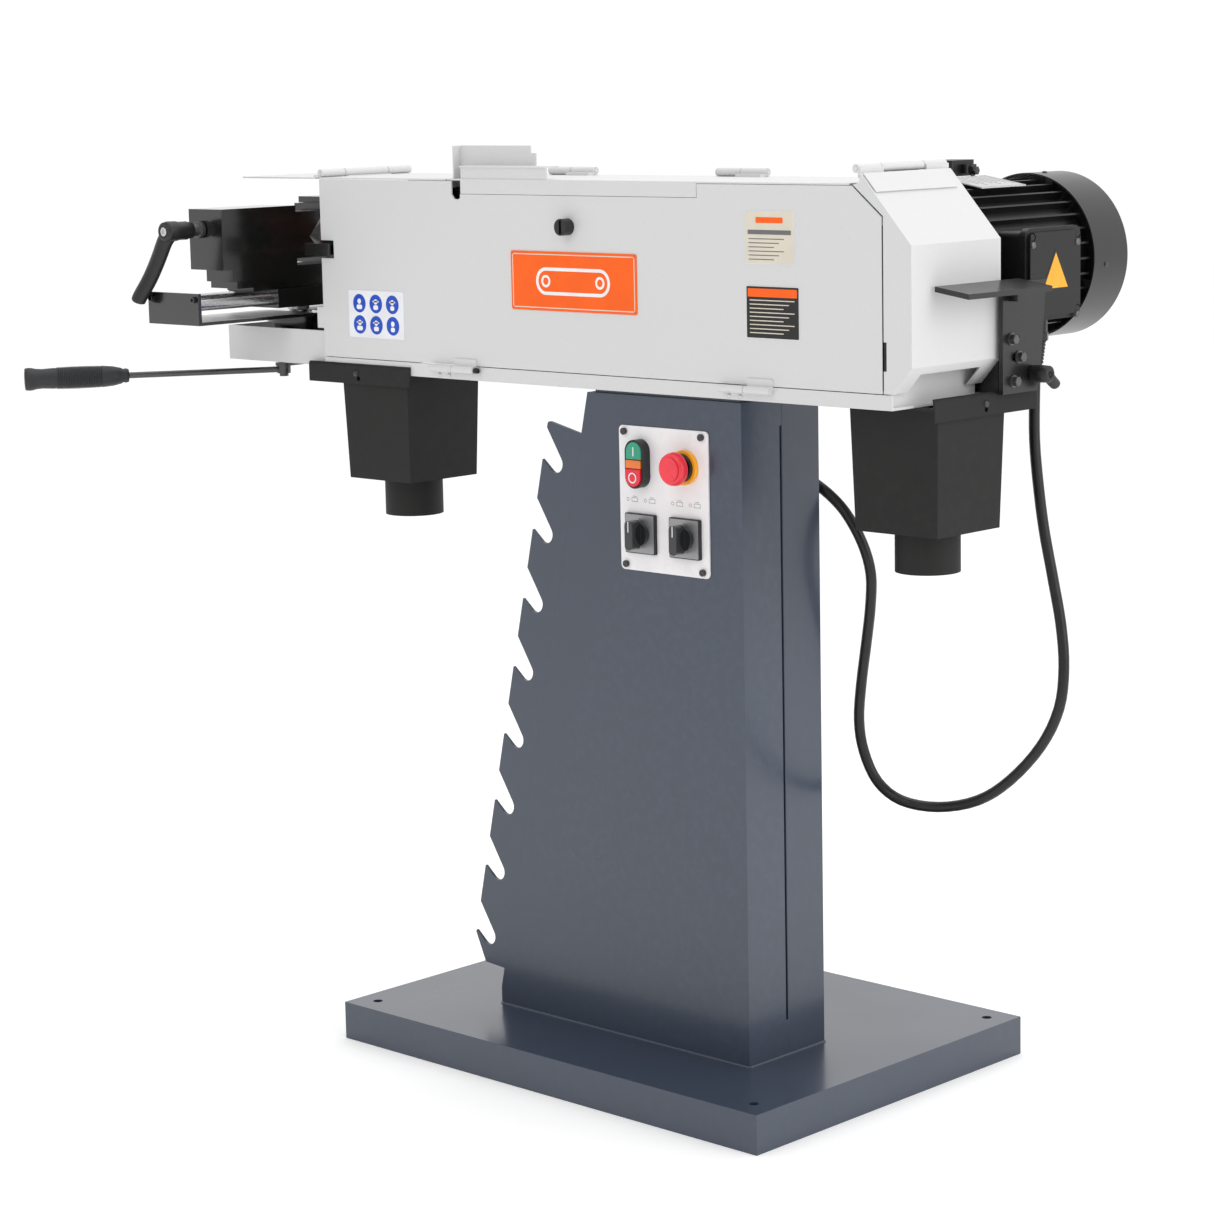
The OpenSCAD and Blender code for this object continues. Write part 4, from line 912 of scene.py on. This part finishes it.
def add_lever_grip(finishes):
    """Ribbed grip: a bulged handle with close rings on its middle and a flared end."""
    pivot = Vector((-0.600, -0.100, 0.837))
    ahead = Vector((-0.554, -0.833, 0)).normalized()
    rod_length = 0.205
    place = facing(pivot + ahead * rod_length, ahead)
    profile = [(0.0042, -0.001), (0.0085, 0), (0.0095, 0.004), (0.0088, 0.007), (0.0105, 0.010),
               (0.0128, 0.020)]
    start, stop = 0.034, 0.094
    groove = 0.0009
    for k in range(GRIP_RIBS):
        for part, cut in ((0.0, 0), (0.55, 0), (0.65, groove), (0.92, groove)):
            height = start + (stop - start) * (k + part) / GRIP_RIBS
            bulge = 0.0135 + 0.0012 * math.sin(math.pi * (height - 0.02) / 0.095)
            profile.append((bulge - cut, height))
    profile += [(0.0136, 0.098), (0.0128, 0.112), (0.0134, 0.120), (0.0148, 0.126), (0.0150, 0.130),
                (0.0142, 0.1345), (0.0100, 0.1350), (0.0096, 0.1335), (0, 0.1335)]
    grip = lathe(profile, place, 48)
    piece = add_piece("lever_handle", grip, finishes["grip"], "lever", smooth=True)
    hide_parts("lever_grip")


def add_vise_handle(finishes):
    """Clamping lever on the vise screw: a stepped hub and a stout, bent arm with a rounded tip."""
    seat = Vector((-0.600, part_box("vise_screw")[0].y, 1.028))
    place = facing(seat, FRONT)
    profile = [(0.0082, 0), (0.0105, 0.0005), (0.0108, 0.006), (0.0118, 0.008), (0.0118, 0.022),
               (0.0128, 0.025), (0.0130, 0.038), (0.0118, 0.0435), (0.0070, 0.0440), (0.0070, 0.0425),
               (0, 0.0425)]
    body = lathe(profile, place, 40)
    bend = [(0, 0.032, 0), (-0.011, 0.034, -0.013), (-0.021, 0.037, -0.034), (-0.034, 0.042, -0.060),
            (-0.048, 0.049, -0.084), (-0.0515, 0.050, -0.0915)]
    path = smooth_path([seat + Vector((x, -out, z)) for x, out, z in bend], 4)
    arm = loft(path, taper(len(path), 0.0122, 0.0102, 0.0085))
    piece = add_piece("vise_lever", joined(body, arm), finishes["plastic"], "screw", smooth=True)
    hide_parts("vise_handle")
    socket_screw("vise_lever_screw", seat + FRONT * 0.0425, FRONT, 0.0058, 0.0024, "screw",
                 finishes["zinc"])


def taper(count, root, waist, depth):
    """Ellipse sizes along an arm: root wide, slimmer to the waist, and rounded off at the tip."""
    sizes = []
    tip = 0.1
    for i in range(count):
        t = i / (count - 1)
        end = 1 if t < 1 - tip else math.sqrt(max(0.06, 1 - ((t - 1 + tip) / tip) ** 2))
        sizes.append(((root + (waist - root) * t) * end, depth * end))
    return sizes


def add_clamp_handle(finishes):
    """Short clamping lever of the work rest, with a domed hub."""
    low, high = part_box("clamp_lever")
    axis = Vector((low.x, 0.070, 0.872))
    place = facing(axis, RIGHT)
    width = high.x - low.x
    rim = width - 0.002
    profile = [(0.0052, 0), (0.0090, 0), (0.0096, 0.004), (0.0100, width * 0.5), (0.0096, rim),
               (0.0070, width), (0.0045, width), (0.0045, rim), (0, rim)]
    hub = lathe(profile, place, 36)
    start = axis + Vector((width - 0.009, 0, 0))
    bend = [(0, 0), (0.008, -0.004), (0.016, -0.010), (0.0225, -0.0145)]
    path = smooth_path([start + Vector((0, y, z)) for y, z in bend], 5)
    arm = loft(path, taper(len(path), 0.0082, 0.0064, 0.0062))
    piece = add_piece("clamp_handle", joined(hub, arm), finishes["plastic"], "clamp", smooth=True)
    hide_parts("clamp_lever")


# ---------- small hardware ----------


# A screw or bolt head stands this far off the face under it.
HEAD_GAP = 0.0001


def add_hardware(finishes):
    """Small fittings outside the motor, the handles and the panel, and dark strips of painted shade at the
    door's edge.
    """
    add_cover_screws(finishes)
    add_rod_screws(finishes)
    add_tray_tab(finishes)
    add_gap_shades_and_plug(finishes)
    add_rest_bolts(finishes)
    add_wear_plates(finishes)


def add_cover_screws(finishes):
    """A screw on each dust hood's flange, and two on each lower hinge leaf of the door."""
    flange = 0.8435
    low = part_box("hood_left")[0]
    at = Vector((low.x + 0.091, low.y - HEAD_GAP, flange))
    button_screw("hood_screw_left", at, FRONT, 0.0042, "frame", finishes["black_screw"])
    low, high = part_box("hood_right")
    at = Vector((high.x + HEAD_GAP, (low.y + high.y) / 2, flange))
    button_screw("hood_screw_right", at, RIGHT, 0.0042, "frame", finishes["black_screw"])
    for k, x in enumerate((-0.260, -0.243, 0.222, 0.239)):
        at = Vector((x, -0.1352, 0.8495))
        button_screw(f"hinge_screw_{k}", at, FRONT, 0.0028, "frame", finishes["zinc"])


def add_rod_screws(finishes):
    """Two screws in the slide's front plate, over its guide rods."""
    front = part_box("slide_frame")[0].y + HEAD_GAP
    for k, x in enumerate((-0.640, -0.554)):
        socket_screw(f"rod_screw_{k}", Vector((x, front, 0.942)), FRONT, 0.0042, 0.004, "slide",
                     finishes["black_screw"])


def add_tray_tab(finishes):
    """Upright tab of the tray where its extension meets the door."""
    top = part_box("head_tray")[1].z
    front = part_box("front_door")[0]
    place = facing(Vector((front.x - 0.0065, front.y + 0.0115, top - 0.001)), UP, up=REAR)
    tab = slab(rounded(0.013, 0.003, 0.0005), 0.027, place)
    add_piece("tray_tab", tab, finishes["white"], "frame")


def add_gap_shades_and_plug(finishes):
    """Dark strip and plate in the rubber finish on the end guard's edge beside the door, painted shade of
    the gap there and of the latch notch, and a hinge pin's plug.
    """
    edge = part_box("front_door")[1].x
    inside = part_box("end_guard")[0].y + 0.0023
    thick = 0.0018
    # A dark strip down the door's right edge: painted shadow of the gap between the door and the end guard.
    gap_shade_at = facing(Vector((edge + 0.001, inside, 0.957)), FRONT)
    strip = slab(rounded(0.0018, 0.180, 0.0005), thick, gap_shade_at)
    add_piece("guard_gap_shade", strip, finishes["rubber"], "end_guard")
    # A dark plate inside the latch notch: painted shade of the notch's hollow.
    notch_plate_at = facing(Vector((edge + 0.0031, inside, 0.904)), FRONT)
    notch_plate = slab(rounded(0.0055, 0.0315, 0.0008), thick, notch_plate_at)
    add_piece("latch_notch_shade", notch_plate, finishes["rubber"], "end_guard")
    pin_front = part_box("hinge_pins")[0].y
    profile = [(0, 0), (0.0034, 0), (0.0034, 0.005), (0.0028, 0.0058), (0, 0.0058)]
    plug = lathe(profile, facing(Vector((-0.1915, pin_front + 0.0046, 0.858)), RIGHT), 24)
    add_piece("hinge_plug", plug, finishes["rubber"], "frame")


def add_rest_bolts(finishes):
    """Two bolts in the slots of the work rest's bracket, and one below."""
    bracket_thick = 0.006
    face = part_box("work_rest")[0].x + bracket_thick + HEAD_GAP
    for k, (y, z) in enumerate(((0.030, 0.9135), (0.044, 0.8925), (0.034, 0.866))):
        hex_bolt(f"rest_bolt_{k}", Vector((face, y, z)), RIGHT, 0.010, "rest", finishes["dull_screw"])


def add_wear_plates(finishes):
    """Bright strips on the floor of the slide frame."""
    floor, middle, width = 0.9131, -0.597, 0.099
    for name, front, rear in (("wear_plate_front", -0.277, -0.090), ("wear_plate_rear", -0.050, 0.038)):
        place = facing(Vector((middle, (front + rear) / 2, floor)), UP, up=REAR)
        plate = slab(rounded(width, rear - front, 0.001), 0.0006, place)
        add_piece(name, plate, finishes["zinc"], "slide")


def add_welds(finishes):
    """Weld bead round the foot of the column, a little uneven."""
    low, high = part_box("column_front")
    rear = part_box("column_rear")[1].y
    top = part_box("base_tray")[1].z
    radius, uneven, pitch = 0.0021, 0.00022, 0.004
    corners = [Vector((x, y, top)) for x, y in (
        (low.x, low.y), (high.x, low.y), (high.x, rear), (low.x, rear), (low.x, low.y),
    )]
    for k, (start, end) in enumerate(zip(corners, corners[1:])):
        count = max(2, round((end - start).length / pitch))
        path = [start.lerp(end, i / count) for i in range(count + 1)]
        sizes = [radius + uneven * math.sin(i * 2.4) for i in range(count + 1)]
        bead = loft(path, [(size, size) for size in sizes], 10)
        add_piece(f"foot_weld_{k}", bead, finishes["stand"], "frame", smooth=True)


# ---------- stage ----------


def add_area(name, at, target, size, power):
    """A rectangular area light at a place, turned to a target."""
    data = bpy.data.lights.new(name, "AREA")
    data.shape = "RECTANGLE"
    data.size, data.size_y = size
    data.energy = power
    light = bpy.data.objects.new(name, data)
    light.location = at
    light.rotation_euler = (Vector(target) - Vector(at)).to_track_quat("-Z", "Y").to_euler()
    bpy.context.scene.collection.objects.link(light)


def set_world():
    """White surroundings, dimmer towards the viewer."""
    world = bpy.data.worlds.new("studio")
    world.use_nodes = True
    tree = world.node_tree
    background = tree.nodes["Background"]
    background.inputs["Color"].default_value = (1, 1, 1, 1)
    place = tree.nodes.new("ShaderNodeTexCoord")
    split = tree.nodes.new("ShaderNodeSeparateXYZ")
    dim = tree.nodes.new("ShaderNodeMapRange")
    for key, number in (("From Min", -0.9), ("From Max", 0.1), ("To Min", 0.62), ("To Max", 1.02)):
        dim.inputs[key].default_value = number
    tree.links.new(place.outputs["Generated"], split.inputs["Vector"])
    tree.links.new(split.outputs["Y"], dim.inputs["Value"])
    tree.links.new(dim.outputs["Result"], background.inputs["Strength"])
    bpy.context.scene.world = world


def add_floor():
    """A plain white floor with a faint glow of its own, which hides the horizon."""
    bpy.ops.mesh.primitive_plane_add(size=40, location=(0, 0, 0))
    floor = bpy.context.object
    floor.name = "floor"
    made = Shader("floor")
    clouds = made.remap(made.noise(2, 3), 0.3, 0.7, 0, 1)
    made.colour(made.mix(clouds, (0.93, 0.93, 0.93), (0.96, 0.96, 0.96)))
    made.set(Roughness=0.9, Specular_IOR_Level=0.1, Emission_Color=(1, 1, 1, 1), Emission_Strength=0.16)
    floor.data.materials.append(made.material)


def set_stage():
    """Surroundings, floor, and large soft lights in front, to the right and above."""
    bpy.context.scene.view_settings.view_transform = "Standard"
    set_world()
    add_floor()
    add_area("key", (0.2, -3.4, 3.4), (0, 0, 0.7), (2.6, 2.0), 20)
    add_area("side", (3.6, 0.4, 2.0), (0, 0, 0.7), (1.6, 2.4), 26)
    add_area("top", (0.0, 0.4, 3.6), (0, 0, 0.8), (3.0, 2.0), 25)


place_camera()
FINISHES = make_materials()
add_cable(FINISHES)
finish_nodes(FINISHES)
add_panel_marks(FINISHES)
add_badge(FINISHES)
add_notice_plates(FINISHES)
add_motor_detail(FINISHES)
add_guard_leaf(FINISHES)
add_lever_grip(FINISHES)
add_vise_handle(FINISHES)
add_clamp_handle(FINISHES)
add_hardware(FINISHES)
add_welds(FINISHES)
set_stage()

bpy.context.view_layer.update()
